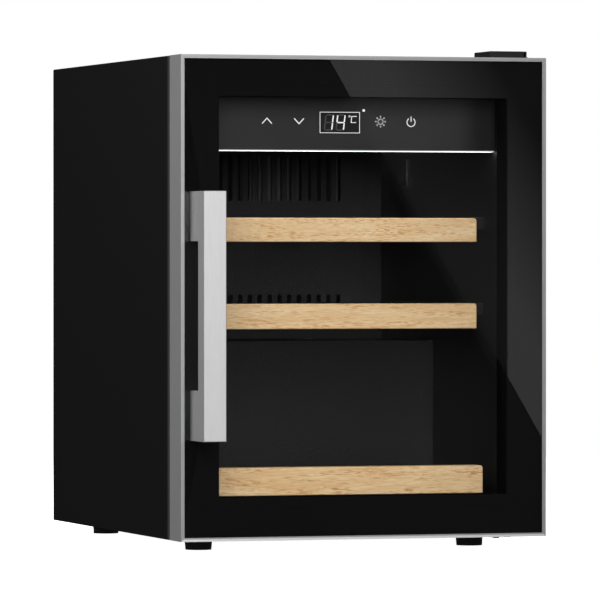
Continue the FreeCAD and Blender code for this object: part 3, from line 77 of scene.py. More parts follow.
def add_camera():
    """A long lens to the left of the door's axis, a little above the middle."""
    data = bpy.data.cameras.new("camera")
    data.lens = CAMERA_LENS
    camera = link(bpy.data.objects.new("camera", data))
    aim = Vector((-AIM_LEFT, door_low.y, door_low.z + AIM_HEIGHT))
    level = math.cos(CAMERA_DROP)
    forward = Vector((math.sin(CAMERA_HEADING) * level, math.cos(CAMERA_HEADING) * level,
                      -math.sin(CAMERA_DROP)))
    camera.location = aim - forward * CAMERA_DISTANCE
    camera.rotation_euler = forward.to_track_quat("-Z", "Y").to_euler()
    SCENE.camera = camera


def add_world():
    """White where the camera sees it, dim in reflections, and an even fill for the rest."""
    world = bpy.data.worlds.new("studio")
    SCENE.world = world
    world.use_nodes = True
    tree = world.node_tree
    tree.nodes.clear()
    path = tree.nodes.new("ShaderNodeLightPath")
    output = tree.nodes.new("ShaderNodeOutputWorld")

    def plain(strength):
        """White light of one strength."""
        background = tree.nodes.new("ShaderNodeBackground")
        background.inputs["Color"].default_value = (1, 1, 1, 1)
        background.inputs["Strength"].default_value = strength
        return background.outputs[0]

    def choose(factor, off, on):
        """One shader where the factor is nought, another where it is one."""
        mix = tree.nodes.new("ShaderNodeMixShader")
        tree.links.new(factor, mix.inputs[0])
        tree.links.new(off, mix.inputs[1])
        tree.links.new(on, mix.inputs[2])
        return mix.outputs[0]

    lit = choose(path.outputs["Is Glossy Ray"], plain(WORLD_FILL), plain(WORLD_MIRRORED))
    seen = choose(path.outputs["Is Camera Ray"], lit, plain(WORLD_SEEN))
    tree.links.new(seen, output.inputs["Surface"])


# --- Material nodes -----------------------------------------------------------------------------

class Finish:
    """One procedural material, with short calls for the nodes that finishes share."""

    def __init__(self, name, colour, roughness, metallic=0.0, **sockets):
        self.material = bpy.data.materials.new(name)
        self.material.use_nodes = True
        self.tree = self.material.node_tree
        self.surface = self.tree.nodes["Principled BSDF"]
        self.place = self.node("ShaderNodeTexCoord").outputs["Object"]
        self.surface.inputs["Metallic"].default_value = metallic
        self.set(self.surface.inputs["Base Color"], colour)
        self.set(self.surface.inputs["Roughness"], roughness)
        for socket, value in sockets.items():
            self.surface.inputs[socket.replace("_", " ")].default_value = value

    def node(self, kind, **settings):
        """A new node with some of its settings."""
        made = self.tree.nodes.new(kind)
        for name, value in settings.items():
            setattr(made, name, value)
        return made

    def set(self, socket, value):
        """Link another node's output to a socket, or give it a value."""
        if isinstance(value, bpy.types.NodeSocket):
            self.tree.links.new(value, socket)
        elif isinstance(value, (tuple, list)) and socket.type == "RGBA":
            socket.default_value = (*value, 1)
        else:
            socket.default_value = value

    def noise(self, scale, stretch=(1, 1, 1), detail=3.0, roughness=0.55, twist=0.0,
              shift=(0, 0, 0)):
        """Noise with about scale cells a metre, finer or coarser along each axis."""
        mapping = self.node("ShaderNodeMapping")
        self.set(mapping.inputs["Vector"], self.place)
        self.set(mapping.inputs["Location"], shift)
        self.set(mapping.inputs["Scale"], stretch)
        noise = self.node("ShaderNodeTexNoise")
        self.set(noise.inputs["Vector"], mapping.outputs[0])
        self.set(noise.inputs["Scale"], scale)
        self.set(noise.inputs["Detail"], detail)
        self.set(noise.inputs["Roughness"], roughness)
        self.set(noise.inputs["Distortion"], twist)
        return noise.outputs["Fac"]

    def spread(self, value, low, high, from_low=0.3, from_high=0.7):
        """A value mapped from one range to another, held within it."""
        ranged = self.node("ShaderNodeMapRange")
        for socket, number in zip(("Value", "From Min", "From Max", "To Min", "To Max"),
                                  (value, from_low, from_high, low, high)):
            self.set(ranged.inputs[socket], number)
        return ranged.outputs["Result"]

    def mix(self, factor, first, second):
        """A mix of two colours."""
        mixed = self.node("ShaderNodeMixRGB")
        self.set(mixed.inputs["Fac"], factor)
        self.set(mixed.inputs["Color1"], first)
        self.set(mixed.inputs["Color2"], second)
        return mixed.outputs["Color"]

    def math(self, operation, first, second=0.0):
        """A sum or comparison of one or two numbers."""
        worked = self.node("ShaderNodeMath", operation=operation)
        self.set(worked.inputs[0], first)
        self.set(worked.inputs[1], second)
        return worked.outputs[0]

    def axis(self, index):
        """One object coordinate, in metres."""
        parts = self.node("ShaderNodeSeparateXYZ")
        self.set(parts.inputs[0], self.place)
        return parts.outputs[index]

    def normal(self, index):
        """One part of the surface's direction, in the frame of the object."""
        parts = self.node("ShaderNodeSeparateXYZ")
        self.set(parts.inputs[0], self.node("ShaderNodeTexCoord").outputs["Normal"])
        return parts.outputs[index]

    def bump(self, height, depth):
        """A relief of some depth, in metres, from a height of 0 to 1."""
        bump = self.node("ShaderNodeBump")
        self.set(bump.inputs["Height"], height)
        self.set(bump.inputs["Distance"], depth)
        self.set(self.surface.inputs["Normal"], bump.outputs[0])
        return self

    def colour(self, value):
        """Colour the surface with a node's output."""
        self.set(self.surface.inputs["Base Color"], value)
        return self

    def rough(self, value):
        """Roughen the surface with a node's output."""
        self.set(self.surface.inputs["Roughness"], value)
        return self


def scaled(colour, factor):
    """A colour made darker or paler."""
    return tuple(channel * factor for channel in colour)


# --- Kinds of finish ----------------------------------------------------------------------------

BRUSH_FINENESS = 40              # brush lines across, for one cell along
WINDOW_HALF_WIDE = 151.5 * MM
WINDOW_LOW, WINDOW_HIGH = 43.3 * MM, 443.2 * MM     # above the door's lower edge
WINDOW_COATING = 0.85            # the share of its mirror that the window's coating takes away
GLASS_IOR = 1.45
FACING_DOWN = -0.97              # the upward part of a direction that counts as downward


def coated(name, colour, roughness, grain=1400, depth=0.02 * MM, gloss=0.5):
    """Paint or moulded plastic with a fine even grain and slight cloudiness."""
    finish = Finish(name, colour, roughness, Specular_IOR_Level=gloss)
    cloud = finish.noise(9, detail=2)
    darker, paler = scaled(colour, 0.94), scaled(colour, 1.07)
    finish.colour(finish.mix(finish.spread(cloud, 0, 1), darker, paler))
    finish.rough(finish.spread(finish.noise(22), roughness * 0.96, roughness * 1.05))
    return finish.bump(finish.noise(grain, detail=2), depth)


def leathered(name, colour, roughness, scale, depth):
    """Sheet with the coarse pebbled grain of a moulded lining."""
    finish = Finish(name, colour, roughness)
    cells = finish.node("ShaderNodeTexVoronoi", feature="SMOOTH_F1")
    finish.set(cells.inputs["Vector"], finish.place)
    finish.set(cells.inputs["Scale"], scale)
    finish.set(cells.inputs["Smoothness"], 0.6)
    grain = finish.mix(0.45, cells.outputs["Distance"], finish.noise(scale * 0.8, detail=4))
    darker, paler = scaled(colour, 0.85), scaled(colour, 1.2)
    finish.colour(finish.mix(finish.spread(finish.noise(14), 0, 1), darker, paler))
    return finish.bump(grain, depth)


def brushed(name, colour, roughness, along, metallic=0.75, painted_side_light=1.0):
    """Anodised aluminium, brushed along one axis; faces that point along X may be darkened with
    painted shade.
    """
    stretch = tuple(1 if axis == along else BRUSH_FINENESS for axis in "XYZ")
    finish = Finish(name, colour, roughness, metallic)
    lines = finish.noise(45, stretch, detail=4, roughness=0.7)
    specks = finish.noise(1500, detail=1)
    tone = finish.mix(finish.spread(lines, 0, 1), scaled(colour, 0.93), scaled(colour, 1.05))
    tone = finish.mix(finish.spread(specks, 0, 0.10), tone, scaled(colour, 1.25))
    # Painted shade: faces that point along X are darkened towards black.
    painted_side_shade = finish.math("MULTIPLY", finish.math("ABSOLUTE", finish.normal(0)), 1 - painted_side_light)
    finish.colour(finish.mix(painted_side_shade, tone, (0, 0, 0)))
    finish.rough(finish.spread(lines, roughness * 0.92, roughness * 1.1))
    return finish.bump(lines, 0.006 * MM)


def wooden(name, shift, light=1.0):
    """Pale rubberwood: long soft bands with short fine pores that run with the grain."""
    # Above 1, light is painted light: a paler copy of the same wood.
    pale, warm = scaled((0.93, 0.71, 0.42), light), scaled((0.82, 0.55, 0.27), light)
    fibre, pore = (0.74, 0.40, 0.15), (0.62, 0.29, 0.085)
    finish = Finish(name, pale, 0.5)
    bands = finish.noise(5, (1, 4, 13), detail=4, roughness=0.6, twist=1.3, shift=shift)
    fibres = finish.noise(60, (1, 7, 14), detail=5, roughness=0.7, twist=0.3, shift=shift)
    dashes = finish.noise(130, (1, 6, 9), detail=2, roughness=0.5, twist=0.2, shift=shift)
    figure = finish.noise(9, (1, 4, 11), detail=2, twist=1.8, shift=shift)
    tone = finish.mix(finish.spread(bands, 0, 1, 0.35, 0.65), pale, warm)
    tone = finish.mix(finish.spread(fibres, 0.0, 0.5, 0.45, 0.7), tone, fibre)
    pores = finish.spread(dashes, 0, 1, 0.5, 0.6)
    where = finish.math("MULTIPLY", pores, finish.spread(figure, 0.25, 1, 0.42, 0.6))
    tone = finish.mix(finish.math("MULTIPLY", where, 0.9), tone, pore)
    finish.colour(tone)
    finish.rough(finish.spread(fibres, 0.42, 0.58))
    return finish.bump(fibres, 0.03 * MM)


def within_window(finish):
    """One inside the door's clear window, nought over its dark border."""
    middle, half_high = (WINDOW_LOW + WINDOW_HIGH) / 2, (WINDOW_HIGH - WINDOW_LOW) / 2
    height = finish.math("SUBTRACT", finish.axis(2), door_low.z + middle)
    beside = finish.math("LESS_THAN", finish.math("ABSOLUTE", finish.axis(0)), WINDOW_HALF_WIDE)
    level = finish.math("LESS_THAN", finish.math("ABSOLUTE", height), half_high)
    return finish.math("MULTIPLY", beside, level)


def clear_glass(name, tint, gain):
    """A pane that passes light straight through and mirrors a little on its outer faces.

    The gain makes the mirror stronger than plain glass, as on a pane with a reflective coating.
    """
    finish = Finish(name, tint, 0.0)
    tree = finish.tree
    tree.nodes.remove(finish.surface)
    through = finish.node("ShaderNodeBsdfTransparent")
    finish.set(through.inputs["Color"], tint)
    mirror = finish.node("ShaderNodeBsdfGlossy")
    finish.set(mirror.inputs["Color"], (1.0, 1.0, 1.0))
    finish.set(mirror.inputs["Roughness"], 0.0)
    fresnel = finish.node("ShaderNodeFresnel")
    finish.set(fresnel.inputs["IOR"], GLASS_IOR)
    inside = finish.node("ShaderNodeNewGeometry").outputs["Backfacing"]
    coated_part = finish.math("MULTIPLY", within_window(finish), WINDOW_COATING)
    amount = finish.math("MULTIPLY", fresnel.outputs[0], gain)
    amount = finish.math("MULTIPLY", amount, finish.math("SUBTRACT", 1.0, inside))
    amount = finish.math("MULTIPLY", amount, finish.math("SUBTRACT", 1.0, coated_part))
    mix = finish.node("ShaderNodeMixShader")
    tree.links.new(amount, mix.inputs[0])
    tree.links.new(through.outputs[0], mix.inputs[1])
    tree.links.new(mirror.outputs[0], mix.inputs[2])
    tree.links.new(mix.outputs[0], tree.nodes["Material Output"].inputs["Surface"])
    return finish


def glowing(name, colour, strength, downward=0.0):
    """A diffuser or a lit mark: plain plastic that also shines, and shines more downwards."""
    finish = Finish(name, scaled(colour, 0.12), 0.5)
    finish.set(finish.surface.inputs["Emission Color"], colour)
    below = finish.math("LESS_THAN", finish.normal(2), FACING_DOWN)
    total = finish.math("ADD", finish.math("MULTIPLY", below, downward), strength)
    finish.set(finish.surface.inputs["Emission Strength"], total)
    return finish.bump(finish.noise(900, detail=1), 0.01 * MM)


# --- Finishes of the parts ----------------------------------------------------------------------

FASCIA_PAINTED_SHADOW = (116 * MM, 136 * MM)  # where the painted shadow darkens the fascia, from and to across it
EDGE_HIGHLIGHT_DEPTH = 9 * MM                # the depth of the painted highlight along the front edge of the cabinet's sheet
FLOOR_REFLECTION_HEIGHT = 2.3 * MM              # the height of the painted floor reflection along the door's bottom edge
# Painted light: the bottom board's wood is made paler to make up for the shade it sits in.
SHELF_PAINTED_LIGHT = {"top_shelf": 1.0, "middle_shelf": 1.0, "bottom_shelf": 1.15}
SHELF_GRAIN_SHIFT = Vector((0.37, 0.21, 0.53))     # so that no two boards have the same grain


def rail_finish():
    """The door's rails: brushed along their length, with a painted reflection of the floor at the
    very bottom.
    """
    finish = brushed("rail_aluminium", (0.335, 0.335, 0.337), 0.42, "X", 0.6)
    base = finish.surface.inputs["Base Color"].links[0].from_socket
    # Painted reflection: the rail's lowest strip is coloured pale, as if it mirrored the floor.
    painted_floor_reflection = finish.math("LESS_THAN", finish.axis(2), door_low.z + FLOOR_REFLECTION_HEIGHT)
    return finish.colour(finish.mix(painted_floor_reflection, base, (0.72, 0.72, 0.72)))


def fascia_finish():
    """Dark satin acrylic with a painted shadow of the door that darkens its right end."""
    grey, dark = (0.0245, 0.0245, 0.0245), (0.003, 0.003, 0.003)
    finish = Finish("fascia_plastic", grey, 0.42, Specular_IOR_Level=0.25)
    painted_shadow_share = finish.spread(finish.axis(0), 0, 1, *FASCIA_PAINTED_SHADOW)
    cloud = finish.spread(finish.noise(14, detail=2), 0, 1)
    tone = finish.mix(cloud, scaled(grey, 0.95), scaled(grey, 1.05))
    # Painted shadow: the fascia's colour turns near black towards its right end.
    finish.colour(finish.mix(painted_shadow_share, tone, dark))
    return finish.bump(finish.noise(1600, detail=1), 0.01 * MM)


def shell_finish():
    """Black satin paint, with a painted highlight that makes it paler where the sheet bends round at
    the cabinet's front.
    """
    black, edge_highlight = (0.0024, 0.0024, 0.0025), (0.040, 0.040, 0.041)
    finish = Finish("shell_paint", black, 0.36, Specular_IOR_Level=0.18)
    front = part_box("outer_shell")[0].y
    # Painted highlight: the sheet's colour turns paler towards its front edge.
    edge = finish.spread(finish.axis(1), 1, 0, front, front + EDGE_HIGHLIGHT_DEPTH)
    finish.colour(finish.mix(finish.math("MULTIPLY", edge, edge), black, edge_highlight))
    return finish.bump(finish.noise(1100, detail=2), 0.012 * MM)


def foam_finish():
    """Rigid foam: cream, with small cells."""
    finish = Finish("foam", (0.74, 0.64, 0.4), 0.9)
    cells = finish.noise(420, detail=4)
    finish.colour(finish.mix(finish.spread(cells, 0, 1), (0.62, 0.52, 0.3), (0.78, 0.69, 0.46)))
    return finish.bump(cells, 0.4 * MM)


def copper_finish():
    """Drawn copper, slightly tarnished."""
    finish = Finish("copper", (0.72, 0.34, 0.19), 0.35, 1.0)
    patches = finish.noise(40, detail=5)
    finish.colour(finish.mix(finish.spread(patches, 0, 1), (0.45, 0.19, 0.11), (0.8, 0.4, 0.24)))
    return finish.rough(finish.spread(patches, 0.28, 0.5))


def board_finish():
    """Green circuit board with paler tracks."""
    finish = Finish("board_green", (0.02, 0.12, 0.05), 0.35)
    tracks = finish.noise(240, (1, 1, 5), detail=0)
    sharp = finish.spread(tracks, 0, 1, 0.5, 0.54)
    return finish.colour(finish.mix(sharp, (0.012, 0.085, 0.035), (0.03, 0.17, 0.07)))


def finishes():
    """Every material, by its slot or its own name."""
    made = {
        "shell_paint": shell_finish(),
        "back_paint": coated("back_paint", (0.022, 0.022, 0.023), 0.5, 900, 0.03 * MM),
        "liner_black": leathered("liner_black", (0.0035, 0.0034, 0.0033), 0.40, 520, 0.4 * MM),
        "foam": foam_finish(),
        "frame_aluminium": brushed("frame_aluminium", (0.32, 0.32, 0.322), 0.42, "Z", 0.6),
        "rail_aluminium": rail_finish(),
        # The handle's side faces are darkened with painted shade.
        "handle_aluminium": brushed("handle_aluminium", (0.53, 0.53, 0.532), 0.45, "Z", 0.45, 0.55),
        "door_glass": clear_glass("door_glass", (0.96, 0.96, 0.96), 1.9),
        "inner_pane": clear_glass("inner_pane", (0.96, 0.96, 0.96), 1.2),
        "door_moulding": coated("door_moulding", (0.0042, 0.0042, 0.0042), 0.4, 900, 0.01 * MM, 0.0),
        "seal_rubber": coated("seal_rubber", (0.012, 0.012, 0.012), 0.62, 600, 0.04 * MM),
        "fascia_plastic": fascia_finish(),
        "display_smoke": coated("display_smoke", (0.019, 0.019, 0.019), 0.2, 900, 0.002 * MM, 0.3),
        "board_green": board_finish(),
        "lamp_diffuser": glowing("lamp_diffuser", (0.98, 0.98, 1.0), 0.40, 5.5),
        "wire_coating": coated("wire_coating", (0.012, 0.012, 0.012), 0.33, 500, 0.03 * MM),
        "fitting_plastic": coated("fitting_plastic", (0.008, 0.008, 0.008), 0.28, 800, 0.01 * MM),
        "foot_rubber": coated("foot_rubber", (0.008, 0.008, 0.008), 0.24, 700, 0.01 * MM, 0.8),
        "hinge_steel": coated("hinge_steel", (0.012, 0.012, 0.012), 0.4, 900, 0.02 * MM),
        "screw_steel": brushed("screw_steel", (0.52, 0.52, 0.51), 0.34, "Z"),
        "black_steel": brushed("black_steel", (0.035, 0.035, 0.036), 0.4, "Z"),
        "zinc_steel": brushed("zinc_steel", (0.48, 0.48, 0.46), 0.45, "X"),
        "fin_aluminium": brushed("fin_aluminium", (0.10, 0.10, 0.10), 0.5, "Z"),
        "copper": copper_finish(),
        "compressor_paint": coated("compressor_paint", (0.008, 0.008, 0.009), 0.3, 300, 0.05 * MM),
        "mount_rubber": coated("mount_rubber", (0.02, 0.02, 0.02), 0.7, 500, 0.05 * MM),
        "white_plastic": coated("white_plastic", (0.72, 0.72, 0.70), 0.42, 700, 0.02 * MM),
    }
    for number, (shelf, light) in enumerate(SHELF_PAINTED_LIGHT.items()):
        made[f"{shelf}_wood"] = wooden(f"{shelf}_wood", number * SHELF_GRAIN_SHIFT, light)
    return {slot: finish.material for slot, finish in made.items()}


# Nodes whose finish isn't the one of their slot.
SPECIAL_FINISHES = {
    "door_rail_top": "rail_aluminium",
    "door_rail_bottom": "rail_aluminium",
    "cabinet_screws": "black_steel",
    "inner_glass": "inner_pane",
    "top_shelf_front": "top_shelf_wood",
    "middle_shelf_front": "middle_shelf_wood",
    "bottom_shelf_front": "bottom_shelf_wood",
}


def paint(piece, material):
    """Give a piece one material."""
    piece.data.materials.clear()
    piece.data.materials.append(material)
    return piece


def paint_parts(materials):
    """Give each CAD node the finish of its slot, or its own."""
    for row in frame["record"]["subparts"]:
        name = row["node"]
        finish = SPECIAL_FINISHES.get(name, row["material_slot"])
        paint(frame["nodes"][name], materials[finish])


# --- Controls -----------------------------------------------------------------------------------

PRINT_THICK = 0.12 * MM
LINE = 0.85 * MM                 # the usual width of a printed line
ICON_HEIGHT = 28.9 * MM          # of the icons' middle above the fascia's lower edge
CHEVRONS = {"icon_up": (-87.8 * MM, 1), "icon_down": (-54.0 * MM, -1)}
CHEVRON_HALF = (5.1 * MM, 2.7 * MM)
SUN_ACROSS, SUN_RING, SUN_RAYS = 32.5 * MM, 2.7 * MM, 8
SUN_REACH = (4.3 * MM, 5.8 * MM)
POWER_ACROSS, POWER_RING = 65.1 * MM, 4.3 * MM
POWER_UPRIGHT = 1.28 * POWER_RING
POWER_GAP = 32                   # degrees each side of the upright
DISPLAY_RIM, OUTLINE_STROKE = 0.9 * MM, 0.6 * MM    # the rim is from the window to the outline
DISPLAY_TENS, DISPLAY_ONES = 9.4 * MM, 21.8 * MM    # from the outline's left side
DIGIT_HALF = (3.9 * MM, 7.6 * MM)
DIGIT_STROKE, DIGIT_GAP, DIGIT_SLANT = 1.3 * MM, 0.35 * MM, 0.12
UNIT_INSET = (6.1 * MM, 7.2 * MM)                   # from the outline's upper right corner
UNIT_HALF, UNIT_STROKE = (2.6 * MM, 3.1 * MM), 0.75 * MM
DEGREE_ASIDE, DEGREE_RING, DEGREE_STROKE = 4.6 * MM, 0.8 * MM, 0.5 * MM
LAMP_OUTSET = (4.4 * MM, 2.0 * MM)                  # from the outline's upper right corner
LAMP_RING, LAMP_STROKE = 0.75 * MM, 1.3 * MM


def meshed(name, mesh):
    """An object from a closed bmesh, with its faces turned outwards."""
    bmesh.ops.recalc_face_normals(mesh, faces=mesh.faces)
    data = bpy.data.meshes.new(name)
    mesh.to_mesh(data)
    mesh.free()
    return link(bpy.data.objects.new(name, data))


def printed(name, strokes, material):
    """Flat strokes on the fascia: each is a list of points, a width and whether it closes."""
    mesh = bmesh.new()
    for points, width, closed in strokes:
        ribbon(mesh, points, width, closed)
    piece = meshed(name, mesh)
    piece.location.y = fascia_low.y
    paint(piece, material)
    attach(piece, "cabinet")


def ribbon(mesh, points, width, closed):
    """A thin bar with mitred corners along points in the XZ plane, in front of y = 0."""
    following_points = points[1:] + points[:1] if closed else points[1:]
    ways = [(after - point).normalized() for point, after in zip(points, following_points)]
    arriving = [ways[-1] if closed else ways[0], *ways]
    leaving = ways if closed else [*ways, ways[-1]]
    rows = []
    for point, arrive, leave in zip(points, arriving, leaving):
        way = (arrive + leave).normalized()
        side = Vector((-way.z, 0, way.x))
        offset = side * width / 2 / way.dot(leave)
        rows.append([mesh.verts.new(point + sign * offset + Vector((0, -depth, 0)))
                     for sign, depth in ((-1, 0), (1, 0), (1, PRINT_THICK), (-1, PRINT_THICK))])
    pairs = zip(rows, rows[1:] + rows[:1] if closed else rows[1:])
    for first, second in pairs:
        for corner in range(4):
            following = (corner + 1) % 4
            mesh.faces.new((first[corner], first[following], second[following], second[corner]))
    if not closed:
        mesh.faces.new(rows[0][::-1])
        mesh.faces.new(rows[-1])


def flat(x, z):
    """A point of a printed mark, in the plane of the fascia's face."""
    return Vector((x, 0, z))


def arc(x, z, radius, start, end, count=24):
    """Points round a circle, from one angle to another in degrees."""
    angles = [math.radians(start + (end - start) * step / count) for step in range(count + 1)]
    return [flat(x + radius * math.cos(angle), z + radius * math.sin(angle)) for angle in angles]


def ring(x, z, radius):
    """Points round a whole circle, for a closed ribbon."""
    return arc(x, z, radius, 0, 360)[:-1]


def slanted(x, z, across, up):
    """A point beside a middle, leaning as the display's digits do."""
    return flat(x + across + up * DIGIT_SLANT, z + up)


def digit(x, z, segments):
    """The named segments of a slanted seven-segment digit about its middle."""
    half_wide, half_high = DIGIT_HALF
    tall, broad = half_high - DIGIT_GAP, half_wide - 2 * DIGIT_GAP
    ends = {"a": ((-broad, half_high), (broad, half_high)),
            "b": ((half_wide, DIGIT_GAP), (half_wide, tall)),
            "c": ((half_wide, -tall), (half_wide, -DIGIT_GAP)),
            "d": ((-broad, -half_high), (broad, -half_high)),
            "e": ((-half_wide, -tall), (-half_wide, -DIGIT_GAP)),
            "f": ((-half_wide, DIGIT_GAP), (-half_wide, tall)),
            "g": ((-broad, 0), (broad, 0))}
    return [([slanted(x, z, *end) for end in ends[name]], DIGIT_STROKE, False) for name in segments]


def add_controls():
    """The touch marks and the display's outline, digits and unit."""
    lit = glowing("mark_lit", (0.95, 0.96, 0.97), 1.0).material
    ghost = coated("mark_ghost", (0.060, 0.060, 0.062), 0.3).material
    middle = fascia_low.z + ICON_HEIGHT
    half, rise = CHEVRON_HALF
    for name, (x, up) in CHEVRONS.items():
        points = [flat(x - half, middle - up * rise), flat(x, middle + up * rise),
                  flat(x + half, middle - up * rise)]
        printed(name, [(points, 1.1 * LINE, False)], lit)
    sun = [(ring(SUN_ACROSS, middle, SUN_RING), 0.6 * LINE, True)]
    for step in range(SUN_RAYS):
        angle = 2 * math.pi * step / SUN_RAYS
        ends = [flat(SUN_ACROSS + reach * math.cos(angle), middle + reach * math.sin(angle))
                for reach in SUN_REACH]
        sun.append((ends, 0.9 * LINE, False))
    printed("icon_light", sun, lit)
    around = arc(POWER_ACROSS, middle - LINE / 2, POWER_RING, 90 + POWER_GAP, 450 - POWER_GAP)
    upright = [flat(POWER_ACROSS, middle), flat(POWER_ACROSS, middle + POWER_UPRIGHT)]
    printed("icon_power", [(around, LINE, False), (upright, LINE, False)], lit)
    add_display(lit, ghost)


def add_display(lit, ghost):
    """A thin outline, two unlit digits under the lit ones, a degree sign, a C and a lamp dot."""
    window_low, window_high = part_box("display_window")
    left, right = window_low.x + DISPLAY_RIM, window_high.x - DISPLAY_RIM
    low, high = window_low.z + DISPLAY_RIM, window_high.z - DISPLAY_RIM
    outline = [flat(left, low), flat(right, low), flat(right, high), flat(left, high)]
    printed("display_outline", [(outline, OUTLINE_STROKE, True)], lit)
    middle = (low + high) / 2
    tens, ones = left + DISPLAY_TENS, left + DISPLAY_ONES
    printed("display_digits_off", digit(tens, middle, "adefg") + digit(ones, middle, "ade"), ghost)
    printed("display_digits_on", digit(tens, middle, "bc") + digit(ones, middle, "bcfg"), lit)
    unit_x, unit_z = right - UNIT_INSET[0], high - UNIT_INSET[1]
    wide, tall = UNIT_HALF
    corners = ((wide, tall), (-wide, tall), (-wide, -tall), (wide, -tall))
    letter = [slanted(unit_x, unit_z, *corner) for corner in corners]
    degree = ring(unit_x - DEGREE_ASIDE, unit_z + tall, DEGREE_RING)
    unit = [(letter, UNIT_STROKE, False), (degree, DEGREE_STROKE, True)]
    printed("display_unit", unit, lit)
    dot = ring(right + LAMP_OUTSET[0], high + LAMP_OUTSET[1], LAMP_RING)
    printed("lamp_dot", [(dot, LAMP_STROKE, True)], lit)


# --- Door seal ----------------------------------------------------------------------------------

# Half of the seal's section, as shares of its width from its middle and of its depth: a broad
# foot, a waist that folds as the door closes, and the round tube that holds the magnet.
SEAL_HALF_SECTION = [(0.5, 0.0), (0.5, 0.22), (0.22, 0.30), (0.16, 0.42), (0.4, 0.52), (0.45, 0.72),
                     (0.4, 0.95), (0.3, 1.0)]


def add_seal(materials):
    """The seal as one moulding, mitred at the door's corners."""
    low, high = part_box("door_gasket")
    wide = inner_edge(frame["nodes"]["door_gasket"], low, high).x - low.x
    deep = high.y - low.y
    outer = [(0.5 - across, back) for across, back in SEAL_HALF_SECTION]
    inner = [(0.5 + across, back) for across, back in reversed(SEAL_HALF_SECTION)]
    mesh = bmesh.new()
    rows = []
    for across, back in outer + inner:
        inset = wide * across
        y = low.y + deep * back
        corners = [(low.x + inset, low.z + inset), (high.x - inset, low.z + inset),
                   (high.x - inset, high.z - inset), (low.x + inset, high.z - inset)]
        rows.append([mesh.verts.new((x, y, z)) for x, z in corners])
    for first, second in zip(rows, rows[1:] + rows[:1]):
        for corner in range(4):
            following = (corner + 1) % 4
            mesh.faces.new((first[corner], second[corner], second[following], first[following]))
    seal = paint(meshed("door_seal", mesh), materials["seal_rubber"])
    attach(seal, "door")
    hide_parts("door_gasket")


def inner_edge(node, low, high):
    """The lower left corner of the opening in a part that is shaped like a picture frame."""
    middle = (low + high) / 2
    beside = min(abs(vertex.co.x - middle.x) for vertex in node.data.vertices)
    above = min(abs(vertex.co.z - middle.z) for vertex in node.data.vertices)
    return middle - Vector((beside, 0, above))


# --- Studio -------------------------------------------------------------------------------------

LIGHTS_AIM = Vector((0, 0, 0.25))
KEY_LIGHT = {"place": (-0.7, -2.7, 1.0), "size": (2.0, 1.3), "power": 67}
LEFT_LIGHT = {"place": (-2.6, 0.9, 1.3), "size": (1.6, 1.8), "power": 48}
RIGHT_LIGHT = {"place": (2.4, -1.6, 1.6), "size": (1.2, 1.6), "power": 16}
OVERHEAD_LIGHT = {"place": (0, 0.1, 3.0), "size": (3.0, 3.0), "power": 60}
FLOOR_FADE = (1.3, 2.6)          # from and to, away from the middle
FLOOR_SIDES = 128
PANEL_REACH = 1.52               # from the mirrored camera, in distances to the glass
PANEL_EDGE = Vector((-39.5, 497)) * MM, Vector((188.5, 113)) * MM    # as the glass mirrors it
PANEL_WIDE = 0.36                # also as the glass mirrors it
PANEL_GLOW = (0.42, 0.03)        # at its edge and further in
PANEL_FADE = (0.12, 0.42)        # from and to, in shares of its width


def soft_light(name, place, size, power):
    """A rectangular softbox that faces the middle of the cabinet."""
    data = bpy.data.lights.new(name, "AREA")
    data.shape = "RECTANGLE"
    data.size, data.size_y = size
    data.energy = power
    light = link(bpy.data.objects.new(name, data))
    light.location = place
    light.rotation_euler = (LIGHTS_AIM - Vector(place)).to_track_quat("-Z", "Y").to_euler()
    return light


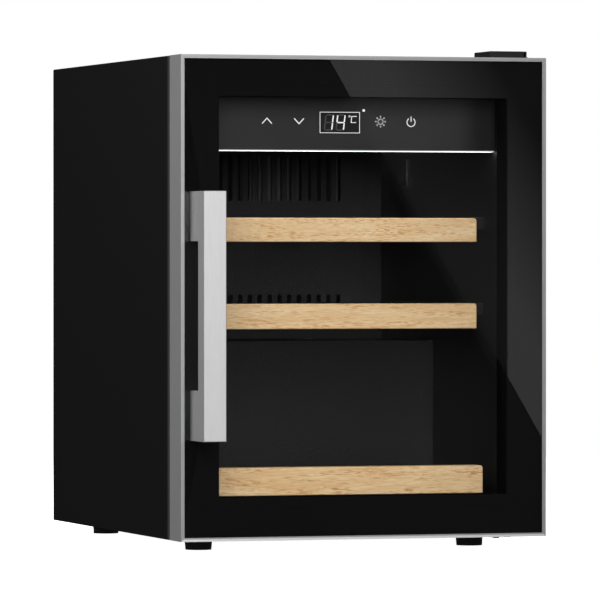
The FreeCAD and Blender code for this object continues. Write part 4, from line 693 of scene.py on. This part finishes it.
def add_floor():
    """A pale round floor that shines as bright as the background and fades into it."""
    mesh = bmesh.new()
    bmesh.ops.create_circle(mesh, cap_ends=True, segments=FLOOR_SIDES, radius=FLOOR_FADE[1])
    floor = meshed("floor", mesh)
    finish = Finish("floor_pale", (0.93, 0.93, 0.93), 0.9, Emission_Strength=1.0)
    distance = finish.node("ShaderNodeVectorMath", operation="LENGTH")
    finish.set(distance.inputs[0], finish.place)
    opacity = finish.spread(distance.outputs["Value"], 1.0, 0.0, *FLOOR_FADE)
    finish.set(finish.surface.inputs["Alpha"], opacity)
    paint(floor, finish.material)
    floor.visible_glossy = False
    floor.visible_diffuse = False


def add_reflected_panel():
    """A dim slanted panel that only the door's glass mirrors, in its upper right."""
    mirrored = SCENE.camera.location.copy()
    mirrored.y = 2 * glass_low.y - mirrored.y
    upper, lower = PANEL_EDGE
    slope = lower - upper
    across = Vector((-slope.y, slope.x)).normalized() * PANEL_WIDE
    start, end = upper - slope / 2, lower + slope / 2
    on_glass = [Vector((corner.x, glass_low.y, corner.y))
                for corner in (start, end, end + across, start + across)]
    corners = [mirrored + (place - mirrored) * PANEL_REACH for place in on_glass]
    data = bpy.data.meshes.new("reflected_panel")
    data.from_pydata(corners, [], [(0, 1, 2, 3)])
    data.uv_layers.new(name="across")
    for loop, share in zip(data.uv_layers[0].data, (0, 0, 1, 1)):
        loop.uv = (share, 0)
    panel = link(bpy.data.objects.new("reflected_panel", data))
    finish = Finish("panel_light", (0, 0, 0), 1.0)
    uv = finish.node("ShaderNodeUVMap", uv_map="across")
    parts = finish.node("ShaderNodeSeparateXYZ")
    finish.set(parts.inputs[0], uv.outputs[0])
    glow = finish.spread(parts.outputs[0], *PANEL_GLOW, *PANEL_FADE)
    finish.set(finish.surface.inputs["Emission Strength"], glow)
    paint(panel, finish.material)
    panel.visible_camera = False
    panel.visible_diffuse = False
    panel.visible_shadow = False
    panel.visible_transmission = False


def add_lights():
    """A broad key in front, one light on each side, and one overhead that nothing mirrors."""
    soft_light("key", **KEY_LIGHT)
    soft_light("left", **LEFT_LIGHT)
    soft_light("right", **RIGHT_LIGHT)
    overhead = soft_light("overhead", **OVERHEAD_LIGHT)
    overhead.visible_glossy = False


SCENE.view_settings.view_transform = "Standard"
add_camera()
add_world()
add_floor()
add_lights()
add_reflected_panel()
materials = finishes()
paint_parts(materials)
add_controls()
add_seal(materials)
